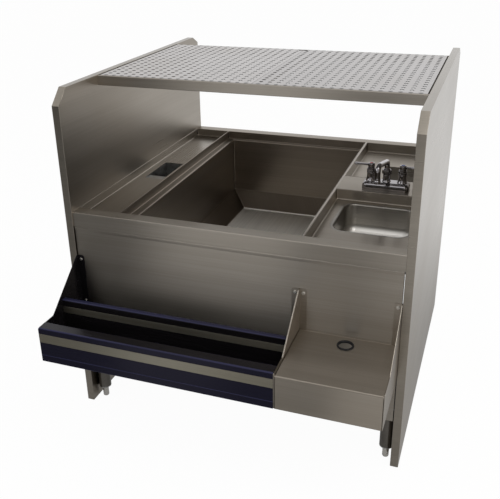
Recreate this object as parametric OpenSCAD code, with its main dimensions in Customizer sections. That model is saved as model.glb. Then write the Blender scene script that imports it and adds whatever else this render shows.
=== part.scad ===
// Pass-through bar workstation: drain trough, insulated ice bin, hand sink, tray, shelf and bottle rail.
// Millimetres, +Z up, the user stands at -Y. The origin is on the floor under the middle of the overall box.
// Inside the modules x runs from the left panel's outer face, y from the panels' front edges, z from the floor.

/* [Overall] */
// Width across both side panels
width = 1067; // [1040:1:1200]
// Depth of the side panels, front to back
depth = 1032; // [1000:1:1120]
// Height from the floor to the top of the side panels
height = 1086; // [1060:1:1250]
// Thickness of the folded stainless sheet
sheet_t = 1.5; // [1:0.1:2]

/* [Side panels] */
// Thickness of a side panel
panel_t = 24; // [20:1:28]
// Gap between the floor and a panel's lower edge
panel_lift = 5; // [2:1:15]
// Thickness of a panel's skins
skin_t = 1.2; // [0.8:0.1:2]
// Thickness of the folded cap round a panel's edge
cap_t = 1.2; // [0.8:0.1:2]
// Length of the front corner cut along the top edge
front_cut_run = 47; // [20:1:80]
// Height of the front corner cut down the front edge
front_cut_drop = 47; // [20:1:80]
// Length of the rear corner cut along the top edge
rear_cut_run = 45; // [20:1:80]
// Height of the rear corner cut down the rear edge
rear_cut_drop = 24; // [10:1:60]
// Distance of the cap's seam from the front edge
cap_seam_y = 235; // [150:1:400]
// Width of the cap's seam
cap_seam_w = 0.4; // [0.2:0.1:1]

/* [Deck] */
// Height of the deck's rim above the floor
deck_h = 707; // [690:1:760]
// Distance from the panels' front edges back to the rim's nose
nose_y = 3.6; // [2:0.1:10]
// Height of the apron below the rim, front and rear
apron_h = 47; // [30:1:70]
// Depth of the front rim's flat
front_rim_w = 41.6; // [30:0.1:60]
// Depth of the rear rim's flat
rear_rim_w = 42; // [30:1:60]
// Distance of the rear rim from the panels' rear edges
rear_gap = 1; // [0.5:0.5:5]

/* [Trough] */
// Width of the left drain trough
trough_w = 142.75; // [130:0.25:170]
// Depth of the trough below the rim
trough_deep = 29; // [15:1:50]
// Distance of the hose chase from the left panel
chase_x = 30; // [20:1:34]
// Width of the hose chase
chase_w = 71; // [40:1:75]
// Distance of the hose chase behind the front rim
chase_y = 388; // [200:1:500]
// Length of the hose chase, front to back
chase_len = 179; // [120:1:250]
// Length of the lowered step at the front of the chase
step_len = 46; // [20:1:60]
// How far the step lies below the trough's floor
step_drop = 7; // [3:1:20]
// Height of the chase below the trough's floor
chase_h = 175; // [60:1:250]
// Width of the flange round the top of the chase
chase_flange = 12; // [6:1:16]
// Wall of the hose chase
chase_t = 1.2; // [0.8:0.1:2]

/* [Ice bin] */
// Depth of the recess below the rim
recess_deep = 31; // [15:1:45]
// Width of the ledge at the left and the front of the bin's mouth
ledge_w = 26; // [22:1:40]
// Width of the ledge behind the bin's mouth
rear_ledge_w = 14; // [8:1:26]
// Width of the ledge at the right of the bin's mouth
right_ledge_w = 16; // [16:1:26]
// Height of the bin's upright walls below the ledge
bin_wall_h = 219; // [150:1:260]
// Depth of the bin's floor below the rim
bin_deep = 307; // [290:1:340]
// How far the sloping sides run in to the floor
hopper_run = 69; // [40:1:120]
// Insulation beside the bin's walls
foam_t = 20; // [12:1:20]
// Insulation under the bin's floor
foam_floor_t = 27; // [15:1:50]
// Wall of the bin's outer shell
shell_t = 1.2; // [0.8:0.1:1.5]
// Width of the divider between the bin and the sink side
divider_w = 7; // [5:0.5:12]
// Height of the divider's legs
divider_leg = 30; // [15:1:35]

/* [Sink side] */
// Width of the sink side; the ice bin takes the rest of the station's width
sink_w = 291; // [290:0.5:340]
// Length of the sink pan, front to back
pan_len = 399.8; // [380:0.1:450]
// Depth of the sink pan below the rim
pan_deep = 36; // [20:1:50]
// Width of the bowl
bowl_w = 224; // [180:1:230]
// Length of the bowl, front to back
bowl_len = 220; // [180:1:300]
// Depth of the bowl below the pan's floor
bowl_deep = 98; // [90:1:200]
// Distance from the pan's left side to the bowl
bowl_x = 42; // [26:1:44]
// Distance from the bowl to the pan's rear side
bowl_back = 28; // [18:1:50]
// Radius of the bowl's upright corners
bowl_corner_r = 37; // [34:1:60]
// Radius between the bowl's walls and its floor
bowl_floor_r = 32; // [10:1:32]
// Radius of the roll at the bowl's mouth
bowl_roll_r = 6; // [3:0.5:8]
// Width of the bowl's flange outside the roll
bowl_flange = 6; // [4:1:10]
// Length of the faucet deck, front to back
tap_deck_len = 134; // [120:1:160]
// Depth of the rear tray below the rim
tray_deep = 37; // [20:1:50]
// Distance from the tray's left side to its port
port_x = 113; // [20:1:125]
// Distance from the faucet deck to the port
port_y = 61; // [20:1:150]
// Width of the port
port_w = 145; // [60:1:150]
// Length of the port, front to back
port_len = 188; // [60:1:220]
// Height of the collar under the port
collar_h = 30; // [10:1:80]

/* [Drains] */
// Outer radius of a drain's tail pipe
tail_r = 22; // [19:0.5:25]
// Wall of the tail pipe
tail_t = 2; // [1.5:0.1:3]
// Length of a tail pipe below the floor it drains
tail_len = 95; // [80:1:140]
// Thickness of the threaded collar on a drain's upper part
thread_t = 1.5; // [1:0.1:2]
// How far a drain's thread runs past its nut
thread_spare = 2.8; // [1:0.1:6]
// Outer radius of a drain's flange
drain_flange_r = 35; // [30:1:45]
// Thickness of a drain's flange
drain_flange_t = 2.5; // [1.5:0.1:4]
// Depth of the strainer's seat below the drained floor
seat_deep = 10; // [6:1:12]
// Width of the strainer's seat
seat_w = 5; // [3:0.5:7]
// Height of a drain nut
nut_h = 12.5; // [8:0.5:20]
// Across-corners radius of a drain nut
nut_r = 32; // [29:0.5:40]
// Height of a strainer's knob
knob_h = 7; // [4:0.5:8]
// Radius of a strainer's knob
knob_r = 3; // [2:0.5:5]
// Radius of a strainer's holes
strain_hole_r = 2.2; // [1:0.1:2.4]
// Number of holes in a strainer
strain_holes = 8; // [4:1:8]

/* [Faucet] */
// Distance between the valves
valve_spread = 102; // [98:1:110]
// Distance of the faucet's centre line behind the sink pan
tap_y = 52; // [40:1:70]
// Length of the faucet base
tap_base_w = 152; // [140:1:170]
// Depth of the faucet base
tap_base_d = 56; // [44:1:60]
// Height of the faucet base
tap_base_h = 24; // [14:1:28]
// Radius of the faucet base's corners
tap_corner_r = 14; // [4:1:20]
// Radius of a valve's lower body
valve_r = 13.5; // [12:0.5:16]
// Height of a valve's lower body
valve_h = 30; // [15:1:34]
// Across-corners radius of a valve's bonnet
bonnet_r = 14; // [12:0.5:16]
// Height of a valve's bonnet
bonnet_h = 15; // [8:1:20]
// Radius of a valve's stem
stem_r = 5; // [3:0.5:7]
// Radius of a valve's threaded shank
shank_r = 10; // [8:0.5:10.5]
// Length of a shank below the deck's sheet
shank_len = 60; // [48:1:90]
// Radius of the shank's lower end, where the supply hose goes on
shank_end_r = 9.5; // [7:0.5:9.5]
// Length of that lower end
shank_end_len = 25; // [15:1:30]
// Height of a shank nut
shank_nut_h = 10; // [6:1:16]
// Across-corners radius of a shank nut
shank_nut_r = 19; // [16:0.5:24]
// Length of a lever from the valve's axis to its tip
lever_len = 56; // [45:1:60]
// Height of a lever's hub
hub_h = 14; // [10:1:20]
// Radius of a lever's hub
hub_r = 11; // [9:0.5:13]
// Height of a lever's blade
blade_h = 8; // [5:0.5:10]
// Half width of a lever's blade at its tip
blade_tip_r = 6.5; // [4:0.5:8]
// Half width of a lever's blade at the hub
blade_root = 4; // [3:0.5:6]
// Radius of an index button
button_r = 6; // [5.5:0.5:8]
// Height of an index button
button_h = 1.6; // [1:0.1:3]
// Radius of the spout's pillar on the base
pillar_r = 12; // [11.5:0.5:14]
// Height of the spout's pillar above the base
pillar_h = 25; // [15:1:32]
// Across-corners radius of the spout's nut
spout_nut_r = 15.5; // [14:0.5:18]
// Height of the spout's nut
spout_nut_h = 16; // [10:1:20]
// Radius of the spout's swivel pin
swivel_r = 9.5; // [8:0.5:9.5]
// Depth of the swivel pin inside the nut and pillar
swivel_deep = 30; // [20:1:34]
// Radius of the spout's tube
spout_r = 8.5; // [7:0.5:9]
// Radius of the spout's bends
spout_bend_r = 16; // [12:1:25]
// Height of the spout's upright above its nut
spout_rise = 13; // [8:1:60]
// Horizontal reach of the spout
spout_reach = 130; // [110:1:160]
// Angle at which the spout's arm climbs
spout_climb = 11; // [4:1:20]
// Length of the spout's straight drop
spout_drop = 26; // [10:1:40]
// Angle of the spout toward the left at rest
spout_rest = 4; // [0:1:20]
// Radius of the aerator
aerator_r = 10.5; // [9.5:0.5:12]
// Height of the aerator
aerator_h = 12; // [8:1:20]

/* [Body] */
// Gap between a side panel and the front or back panel
side_gap = 3; // [1:0.5:6]
// Height of the front panel's lower edge above the floor
skirt_z = 166; // [120:1:200]
// How far the front and back panels reach up behind the aprons
tuck = 12; // [6:1:15]
// Width of the front panel's folded returns
return_w = 14; // [8:1:16]
// Height of the base channels
channel_h = 40; // [30:1:60]
// Width of the base channels
channel_w = 66; // [64:1:90]
// Outer radius of a leg tube
leg_r = 20.65; // [15:0.05:21]
// Wall of a leg tube
leg_t = 1.5; // [1.2:0.1:3]
// Gap between a leg and the side panel
leg_gap = 0.5; // [0.4:0.1:3]
// Distance of the front legs behind the panels' front edges
leg_y = 47; // [44:1:49]
// Height of a leg tube's lower end above the floor
leg_z = 45; // [40:1:70]
// Length of the threaded insert inside a leg
insert_len = 32; // [26:1:50]
// Thickness of the insert's collar under the leg
insert_collar = 3; // [2:0.5:6]
// Radius of a foot's threaded stem
foot_stem_r = 8; // [5:0.5:10]
// Length of a foot's threaded stem
foot_stem_len = 30; // [26:1:34]
// Radius of a foot
foot_r = 10; // [9:0.5:14]
// Radius of the rounding at a foot's sole
foot_round_r = 5; // [2:0.5:8]
// Across-corners radius of a foot's hexagon
foot_hex_r = 12; // [11.5:0.5:17]
// Height of a foot's hexagon
foot_hex_h = 9; // [5:1:14]

/* [Bottle rail] */
// Reach of the rail in front of the side panels
rail_reach = 241; // [200:1:280]
// Height of the rail's lower edge above the floor
rail_z = 321; // [290:1:360]
// Height of the rail's front
rail_h = 114; // [90:1:130]
// Width of the rail's top flange
rail_flange = 37; // [20:1:45]
// Height of the down-turned lip behind the top flange
rail_lip = 14; // [8:1:30]
// Distance of the rear tier in front of the side panels
tier_y = 107; // [80:1:120]
// Height of the rear tier above the rail's lower edge
tier_h = 138; // [115:1:160]
// Depth of the rear tier's flat top
tier_top = 17; // [10:1:30]
// Height of the rail's back wall
rail_back_h = 49; // [20:1:60]
// Height of the hem along the rail's lower front edge
hem_h = 23; // [10:1:40]
// Thickness of the trim strips and the hem
strip_t = 1; // [0.6:0.1:2]
// Height of the front strip's lower edge above the rail's lower edge
front_strip_z = 66; // [40:1:80]
// Height of the front strip
front_strip_h = 29; // [15:1:33]
// Height of the rear strip's lower edge above the rail's lower edge
rear_strip_z = 93; // [70:1:105]
// Height of the rear strip
rear_strip_h = 23; // [10:1:32]

/* [Brackets] */
// Thickness of the brackets and gussets
bracket_t = 1.5; // [1:0.1:3]
// Height of a bracket's top above the rail's lower edge
bracket_h = 241; // [200:1:270]
// Height of a bracket's nose above the rail's lower edge
bracket_nose_h = 112; // [95:1:114]
// Depth of a bracket's level nose
bracket_nose = 80; // [40:1:120]
// Width of a bracket's bolting flange
bracket_flange = 21; // [16:1:28]
// Gap between the rail's bracket and the box's gusset
bracket_gap = 0.5; // [0.4:0.1:3]
// Distance of the upper bolts below a bracket's top
bolt_top = 14; // [6:1:20]
// Height of the lower bolts above the rail's lower edge
bolt_low = 79; // [60:1:90]
// Radius of a bracket bolt
bolt_r = 3; // [2:0.5:4]
// Radius of a bolt's head
bolt_head_r = 5.5; // [5:0.5:7]
// Height of a bolt's head
bolt_head_h = 3.5; // [2:0.5:5]
// Height of a bolt's nut
bolt_nut_h = 5; // [3:0.5:7]

/* [Step-down box] */
// Width of the box; the bottle rail takes the rest of the station's width
box_w = 288; // [280:0.5:340]
// Height of the box
box_h = 107; // [80:1:112]
// Height of the box's upturned rear edge
box_upturn = 5; // [3:1:12]
// How far the box's lower edge lies below the rail's
box_drop = 1; // [0:0.5:5]
// Depth of the folds along the box's lower edges
box_fold = 20; // [10:1:40]
// Distance of the grommet in front of the side panels
grommet_y = 41; // [30:1:120]
// Distance of the grommet from the box's left side
grommet_x = 146; // [60:1:220]
// Outer radius of the grommet
grommet_r = 24; // [22:0.5:32]
// Radius of the grommet's neck
grommet_neck_r = 21; // [20:0.5:21]
// Radius of the grommet's bore
grommet_bore_r = 19; // [10:0.5:19]
// Thickness of each of the grommet's lips
grommet_lip = 3; // [2:0.5:5]

/* [Shelf] */
// Distance of the shelf's front behind the panels' front edges
shelf_y = 227; // [150:1:300]
// Depth of the shelf, front to back
shelf_len = 602; // [500:1:650]
// Distance of the shelf's top below the panels' tops
shelf_drop = 1.5; // [0:0.5:30]
// Height of the shelf's front and rear rails
shelf_rail_h = 31; // [24:1:50]
// Width of the front rail's flat top
shelf_flat = 10; // [6:1:20]
// Width of the ledges that carry the sheets
shelf_ledge = 16; // [10:1:20]
// Width of the side ledges
side_ledge_w = 20; // [12:1:30]
// Height of the side ledges and the centre bar
side_ledge_h = 15; // [12:1:40]
// Width of the bar under the seam of the sheets
centre_bar_w = 40; // [30:1:60]
// Height of a sheet's folded edges
sheet_fold = 16; // [12:1:20]
// Gap between a sheet and the side panel
sheet_side_gap = 5; // [3:0.5:8]
// Gap between the two sheets
seam_gap = 1; // [0.5:0.5:3]
// Gap between the sheets and the shelf's rails
sheet_end_gap = 0.5; // [0.4:0.1:2]
// Spacing of the drain holes
hole_pitch = 27.5; // [20:0.5:40]
// Radius of a drain hole
hole_r = 5.4; // [3:0.1:7]
// Least distance from a side fold to the hole centres
hole_side = 12; // [9:1:20]
// Least distance from a front or rear fold to the hole centres
hole_end = 20; // [16:1:30]
// Half width of the finger notch at the seam
notch_half = 16; // [10:1:20]
// Length of the finger notch
notch_len = 16; // [10:1:20]
// Distance of the finger notch from the sheets' rear edge
notch_back = 4.5; // [4:0.5:8]

/* [Fits] */
// Radial clearance of parts that turn or slide in each other
run_fit = 0.05; // [0.03:0.01:0.08]
// Radial clearance of pieces that pass through a hole and stay put
pass_fit = 0.4; // [0.3:0.1:0.8]

/* [Hidden] */
$fn = 64;

// How far a cutting shape runs past the face that it cuts
past = 1;
// Thickness of the slabs between which the hopper's slopes are drawn
slab = 0.01;
// Sides of the spout's tube and steps along each of its bends
tube_sides = 28;
bend_steps = 8;

steel = [0.56, 0.54, 0.50];
dull_steel = [0.46, 0.44, 0.41];
bright = [0.82, 0.82, 0.84];
black = [0.07, 0.07, 0.11];
rubber = [0.05, 0.05, 0.05];
foam = [0.85, 0.80, 0.62];

// Left and right limits between the side panels
in_x0 = panel_t;
in_x1 = width - panel_t;

// Front of everything and the middle of the overall box
front_y = -(rail_reach + strip_t);
origin_y = (front_y + depth) / 2;

// Deck
deck_y0 = nose_y + front_rim_w;
rear_y = depth - rear_gap;
deck_y1 = rear_y - rear_rim_w;
panel_face_y = nose_y + sheet_t;
back_face_y = rear_y - sheet_t;
apron_z = deck_h - apron_h;

// Trough and hose chase
trough_x1 = in_x0 + trough_w;
trough_z = deck_h - trough_deep;
chase_x0 = in_x0 + chase_x;
chase_x1 = chase_x0 + chase_w;
chase_y0 = deck_y0 + chase_y;
chase_y1 = chase_y0 + chase_len;
chase_top = trough_z - sheet_t;

// Ice bin
sink_x0 = in_x1 - sink_w;
bin_x0 = trough_x1;
bin_x1 = sink_x0 - divider_w;
ledge_z = deck_h - recess_deep;
liner_x0 = bin_x0 + sheet_t + ledge_w;
liner_x1 = bin_x1 - sheet_t - right_ledge_w;
liner_y0 = deck_y0 + ledge_w;
liner_y1 = deck_y1 - rear_ledge_w;
bin_wall_z = ledge_z - bin_wall_h;
bin_floor_z = deck_h - bin_deep;
foam_x0 = liner_x0 - sheet_t - foam_t;
foam_x1 = liner_x1 + sheet_t + foam_t;
foam_y0 = liner_y0 - sheet_t - foam_t;
foam_y1 = liner_y1 + sheet_t + foam_t;
foam_z0 = bin_floor_z - sheet_t - foam_floor_t;
foam_z1 = ledge_z - sheet_t;
bin_bottom_z = foam_z0 - shell_t;
bin_drain_x = (bin_x0 + bin_x1) / 2;
bin_drain_y = (deck_y0 + deck_y1) / 2;

// Sink side
pan_y1 = deck_y0 + pan_len;
tap_deck_y1 = pan_y1 + tap_deck_len;
pan_z = deck_h - pan_deep;
bowl_x0 = sink_x0 + bowl_x;
bowl_x1 = bowl_x0 + bowl_w;
bowl_y1 = pan_y1 - bowl_back;
bowl_y0 = bowl_y1 - bowl_len;
bowl_z = pan_z - bowl_deep;
bowl_cx = (bowl_x0 + bowl_x1) / 2;
bowl_cy = (bowl_y0 + bowl_y1) / 2;
bowl_mouth_r = bowl_corner_r + bowl_roll_r + bowl_flange;
tray_z = deck_h - tray_deep;
port_x0 = sink_x0 + port_x;
port_y0 = tap_deck_y1 + port_y;

// Drains
tail_in_r = tail_r - tail_t;
thread_r = tail_r + thread_t;
thread_len = sheet_t + foam_floor_t + shell_t + nut_h + thread_spare;
drain_hole_r = thread_r + pass_fit;
strainer_r = tail_in_r - pass_fit;
strain_ring_r = tail_in_r - seat_w - strain_hole_r - 1;

// Faucet
tap_x = bowl_cx;
tap_yc = pan_y1 + tap_y;
tap_top_z = deck_h + tap_base_h;
bonnet_z = tap_top_z + valve_h;
hub_z = bonnet_z + bonnet_h;
shank_low_z = deck_h - sheet_t - shank_len;
pillar_z = tap_top_z + pillar_h;
spout_z = pillar_z + spout_nut_h;
bend_z = spout_z + spout_rise;
arm_len = (spout_reach - 2 * spout_bend_r) / cos(spout_climb);
arm_end_z = bend_z + spout_bend_r * cos(spout_climb) + arm_len * sin(spout_climb);
drop_z = arm_end_z - spout_bend_r * cos(spout_climb);
outlet_z = drop_z - spout_drop;
valve_xs = [tap_x - valve_spread / 2, tap_x + valve_spread / 2];

// Legs and feet
base_y0 = panel_face_y + sheet_t;
base_y1 = back_face_y - sheet_t;
base_z1 = skirt_z + channel_h;
leg_top_z = base_z1 - sheet_t;
leg_x0 = in_x0 + leg_gap + leg_r;
leg_x1 = in_x1 - leg_gap - leg_r;
leg_y1 = base_y1 - (leg_y - base_y0);
leg_places = [[leg_x0, leg_y], [leg_x1, leg_y], [leg_x0, leg_y1], [leg_x1, leg_y1]];
foot_top_z = leg_z - insert_collar;

// Bottle rail, brackets and box
rail_x0 = in_x0 + pass_fit + bracket_t;
box_x1 = in_x1 - pass_fit - bracket_t;
box_x0 = box_x1 - box_w;
gusset_x0 = box_x0 - bracket_t;
rail_x1 = gusset_x0 - bracket_gap - bracket_t;
rail_top_z = rail_z + rail_h;
tier_z = rail_z + tier_h;
flange_y0 = panel_face_y - bracket_t;
bracket_top_z = rail_z + bracket_h;
box_z0 = rail_z - box_drop;
box_z1 = box_z0 + box_h;
grommet_xc = box_x0 + grommet_x;
bolt_xs = [
    rail_x0 + bracket_flange / 2,
    rail_x1 - bracket_flange / 2,
    box_x0 + bracket_flange / 2,
    box_x1 - bracket_flange / 2
];
bolt_zs = [bracket_top_z - bolt_top, rail_z + bolt_low];

// Shelf
shelf_z1 = height - shelf_drop;
shelf_z0 = shelf_z1 - shelf_rail_h;
shelf_y1 = shelf_y + shelf_len;
ledge_top_z = shelf_z1 - sheet_fold;
sheet_y0 = shelf_y + shelf_flat + sheet_end_gap;
sheet_y1 = shelf_y1 - sheet_t - sheet_end_gap;
front_ledge_y = shelf_y + shelf_flat - sheet_t + shelf_ledge;
rear_ledge_y = shelf_y1 - sheet_t - shelf_ledge;
seam_x = width / 2;

// ---- Shared shapes ----

// Moves the working coordinates to the origin under the middle of the overall box
module place() {
    translate([-width / 2, -origin_y, 0])
        children();
}

// Box between two limits on each axis
module block(x0, x1, y0, y1, z0, z1) {
    translate([x0, y0, z0])
        cube([x1 - x0, y1 - y0, z1 - z0]);
}

// Draws a y-z section along x
module along_x(x0, x1) {
    translate([x0, 0, 0])
        rotate([90, 0, 90])
            linear_extrude(x1 - x0)
                children();
}

// Rectangle of a y-z section
module bar(y0, y1, z0, z1) {
    translate([y0, z0])
        square([y1 - y0, z1 - z0]);
}

// Upright cylinder between two heights
module post(x, y, r, z0, z1) {
    translate([x, y, z0])
        cylinder(r = r, h = z1 - z0);
}

// Cylinder along y between two depths
module pin_y(x, z, r, y0, y1) {
    translate([x, y0, z])
        rotate([-90, 0, 0])
            cylinder(r = r, h = y1 - y0);
}

// Six-sided prism with a round bore
module hex_nut(x, y, r, bore_r, z0, z1) {
    difference() {
        translate([x, y, z0])
            cylinder(r = r, h = z1 - z0, $fn = 6);
        post(x, y, bore_r, z0 - past, z1 + past);
    }
}

// Rectangle with round corners, centred
module round_rect(w, l, r) {
    square([w - 2 * r, l], center = true);
    square([w, l - 2 * r], center = true);
    for (sx = [-1, 1], sy = [-1, 1])
        translate([sx * (w / 2 - r), sy * (l / 2 - r)])
            circle(r);
}

// Open pan let into the deck
module pan(x0, x1, y0, y1, deep) {
    difference() {
        block(x0, x1, y0, y1, deck_h - deep - sheet_t, deck_h);
        block(x0 + sheet_t, x1 - sheet_t, y0 + sheet_t, y1 - sheet_t, deck_h - deep, deck_h + past);
    }
}

// ---- Side panels ----

// Corner cut's meeting points with the top and the upright edge, when all edges move in by d
function cut_len(run, drop) = sqrt(run * run + drop * drop);
function cut_top(run, drop, d) = run + d * (cut_len(run, drop) - run) / drop;
function cut_side(run, drop, d) = drop + d * (cut_len(run, drop) - drop) / run;

function panel_outline(d) = [
    [d, panel_lift + d],
    [depth - d, panel_lift + d],
    [depth - d, height - cut_side(rear_cut_run, rear_cut_drop, d)],
    [depth - cut_top(rear_cut_run, rear_cut_drop, d), height - d],
    [cut_top(front_cut_run, front_cut_drop, d), height - d],
    [d, height - cut_side(front_cut_run, front_cut_drop, d)]
];

module panel_layer(x0, x1) {
    along_x(x0, x1)
        polygon(panel_outline(cap_t));
}

module panel_skins(x0) {
    panel_layer(x0, x0 + skin_t);
    panel_layer(x0 + panel_t - skin_t, x0 + panel_t);
}

module panel_core(x0) {
    panel_layer(x0 + skin_t, x0 + panel_t - skin_t);
}

module panel_caps(x0) {
    difference() {
        along_x(x0, x0 + panel_t)
            difference() {
                polygon(panel_outline(0));
                polygon(panel_outline(cap_t));
            }
        block(x0 - past, x0 + panel_t + past,
            cap_seam_y - cap_seam_w / 2, cap_seam_y + cap_seam_w / 2, 0, height + past);
    }
}

module left_panel_skins() {
    color(steel)
        place()
            panel_skins(0);
}

module left_panel_core() {
    color(foam)
        place()
            panel_core(0);
}

module left_panel_caps() {
    color(steel)
        place()
            panel_caps(0);
}

module right_panel_skins() {
    color(steel)
        place()
            panel_skins(in_x1);
}

module right_panel_core() {
    color(foam)
        place()
            panel_core(in_x1);
}

module right_panel_caps() {
    color(steel)
        place()
            panel_caps(in_x1);
}

// ---- Deck ----

module front_rim() {
    color(steel)
        place()
            along_x(in_x0, in_x1) {
                bar(nose_y, panel_face_y, apron_z, deck_h);
                bar(nose_y, deck_y0, deck_h - sheet_t, deck_h);
            }
}

module rear_rim() {
    color(steel)
        place()
            along_x(in_x0, in_x1) {
                bar(back_face_y, rear_y, apron_z, deck_h);
                bar(deck_y1, rear_y, deck_h - sheet_t, deck_h);
            }
}

module trough_pan() {
    color(steel)
        place()
            difference() {
                pan(in_x0, trough_x1, deck_y0, deck_y1, trough_deep);
                block(chase_x0, chase_x1, chase_y0, chase_y1, chase_top - past, trough_z + past);
            }
}

// Rectangular chute for hoses under the trough, with a lowered step at its front
module hose_chase() {
    step_z = trough_z - step_drop;
    color(dull_steel)
        place() {
            difference() {
                union() {
                    block(chase_x0 - chase_t, chase_x1 + chase_t, chase_y0 - chase_t, chase_y1 + chase_t,
                        chase_top - chase_h, chase_top);
                    block(chase_x0 - chase_flange, chase_x1 + chase_flange,
                        chase_y0 - chase_flange, chase_y1 + chase_flange,
                        chase_top - chase_t, chase_top);
                }
                block(chase_x0, chase_x1, chase_y0, chase_y1, chase_top - chase_h - past, chase_top + past);
            }
            block(chase_x0, chase_x1, chase_y0, chase_y0 + step_len, step_z - chase_t, step_z);
        }
}

// The bin below its ledge, grown outward by the given thickness
module bin_body(grow) {
    block(liner_x0 - grow, liner_x1 + grow, liner_y0 - grow, liner_y1 + grow, bin_wall_z, ledge_z);
    hull() {
        block(liner_x0 - grow, liner_x1 + grow, liner_y0 - grow, liner_y1 + grow,
            bin_wall_z, bin_wall_z + slab);
        block(liner_x0 + hopper_run - grow, liner_x1 - hopper_run + grow,
            liner_y0 + hopper_run - grow, liner_y1 - hopper_run + grow,
            bin_floor_z - grow, bin_floor_z - grow + slab);
    }
}

module ice_bin_liner() {
    color(steel)
        place()
            difference() {
                union() {
                    pan(bin_x0, bin_x1, deck_y0, deck_y1, recess_deep);
                    bin_body(sheet_t);
                }
                bin_body(0);
                block(liner_x0, liner_x1, liner_y0, liner_y1, ledge_z - past, ledge_z + past);
                post(bin_drain_x, bin_drain_y, drain_hole_r, bin_floor_z - sheet_t - past, bin_floor_z + past);
            }
}

module bin_insulation() {
    color(foam)
        place()
            difference() {
                block(foam_x0, foam_x1, foam_y0, foam_y1, foam_z0, foam_z1);
                bin_body(sheet_t);
                post(bin_drain_x, bin_drain_y, drain_hole_r, foam_z0 - past, bin_floor_z);
            }
}

module bin_shell() {
    color(dull_steel)
        place()
            difference() {
                block(foam_x0 - shell_t, foam_x1 + shell_t, foam_y0 - shell_t, foam_y1 + shell_t,
                    bin_bottom_z, foam_z1);
                block(foam_x0, foam_x1, foam_y0, foam_y1, foam_z0, foam_z1 + past);
                post(bin_drain_x, bin_drain_y, drain_hole_r, bin_bottom_z - past, foam_z0 + past);
            }
}

module divider_cap() {
    color(steel)
        place() {
            block(bin_x1, sink_x0, deck_y0, deck_y1, deck_h - sheet_t, deck_h);
            block(bin_x1, bin_x1 + sheet_t, deck_y0, deck_y1, deck_h - divider_leg, deck_h);
            block(sink_x0 - sheet_t, sink_x0, deck_y0, deck_y1, deck_h - divider_leg, deck_h);
        }
}

module sink_pan() {
    margin = 2 * (bowl_roll_r + bowl_flange);
    color(steel)
        place()
            difference() {
                pan(sink_x0, in_x1, deck_y0, pan_y1, pan_deep);
                translate([bowl_cx, bowl_cy, pan_z - sheet_t - past])
                    linear_extrude(sheet_t + 2 * past)
                        round_rect(bowl_w + margin, bowl_len + margin, bowl_mouth_r);
            }
}

// Quarter of a ring: qx and qy pick the side of the centre that it lies on
module quarter_ring(r, qx, qy) {
    intersection() {
        difference() {
            circle(r);
            circle(r - sheet_t);
        }
        translate([qx > 0 ? 0 : -r, qy > 0 ? 0 : -r])
            square(r);
    }
}

// Section of the bowl outward from a corner's axis: flange, roll, wall and floor radius
module bowl_section() {
    roll_x = bowl_corner_r + bowl_roll_r;
    floor_x = bowl_corner_r - bowl_floor_r;
    translate([roll_x, pan_z - sheet_t])
        square([bowl_flange, sheet_t]);
    translate([roll_x, pan_z - bowl_roll_r])
        quarter_ring(bowl_roll_r, -1, 1);
    translate([bowl_corner_r, bowl_z + bowl_floor_r])
        square([sheet_t, bowl_deep - bowl_roll_r - bowl_floor_r]);
    translate([floor_x, bowl_z + bowl_floor_r])
        quarter_ring(bowl_floor_r + sheet_t, 1, -1);
    translate([0, bowl_z - sheet_t])
        square([floor_x, sheet_t]);
}

// Straight side of the bowl: the section drawn along the length between two corners
module bowl_side(turn, reach, span) {
    rotate([0, 0, turn])
        translate([reach, span / 2, 0])
            rotate([90, 0, 0])
                linear_extrude(span)
                    bowl_section();
}

module sink_bowl() {
    half_w = bowl_w / 2 - bowl_corner_r;
    half_l = bowl_len / 2 - bowl_corner_r;
    color(steel)
        place()
            translate([bowl_cx, bowl_cy, 0])
                difference() {
                    union() {
                        for (turn = [0, 180])
                            bowl_side(turn, half_w, 2 * half_l);
                        for (turn = [90, 270])
                            bowl_side(turn, half_l, 2 * half_w);
                        for (q = [[1, 1, 0], [-1, 1, 90], [-1, -1, 180], [1, -1, 270]])
                            translate([q[0] * half_w, q[1] * half_l, 0])
                                rotate([0, 0, q[2]])
                                    rotate_extrude(angle = 90)
                                        bowl_section();
                        block(-half_w, half_w, -half_l, half_l, bowl_z - sheet_t, bowl_z);
                    }
                    post(0, 0, drain_hole_r, bowl_z - sheet_t - past, bowl_z + past);
                }
}

module faucet_deck() {
    color(steel)
        place()
            difference() {
                along_x(sink_x0, in_x1) {
                    bar(pan_y1, tap_deck_y1, deck_h - sheet_t, deck_h);
                    bar(pan_y1, pan_y1 + sheet_t, pan_z, deck_h);
                    bar(tap_deck_y1 - sheet_t, tap_deck_y1, pan_z, deck_h);
                }
                for (x = valve_xs)
                    post(x, tap_yc, shank_r + pass_fit, deck_h - sheet_t - past, deck_h + past);
            }
}

module rear_tray() {
    port_x1 = port_x0 + port_w;
    port_y1 = port_y0 + port_len;
    under = tray_z - sheet_t;
    color(steel)
        place()
            difference() {
                union() {
                    pan(sink_x0, in_x1, tap_deck_y1, deck_y1, tray_deep);
                    block(port_x0 - sheet_t, port_x1 + sheet_t, port_y0 - sheet_t, port_y1 + sheet_t,
                        under - collar_h, under);
                }
                block(port_x0, port_x1, port_y0, port_y1, under - collar_h - past, tray_z + past);
            }
}

// ---- Drains ----

// Flanged tail pipe with an inner seat for the strainer
module drain(x, y, z) {
    translate([x, y, z])
        rotate_extrude() {
            translate([tail_in_r, 0])
                square([drain_flange_r - tail_in_r, drain_flange_t]);
            translate([tail_in_r, -thread_len])
                square([thread_r - tail_in_r, thread_len]);
            translate([tail_in_r, -tail_len])
                square([tail_t, tail_len]);
            translate([tail_in_r - seat_w, -seat_deep - sheet_t])
                square([seat_w, sheet_t]);
        }
}

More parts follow.
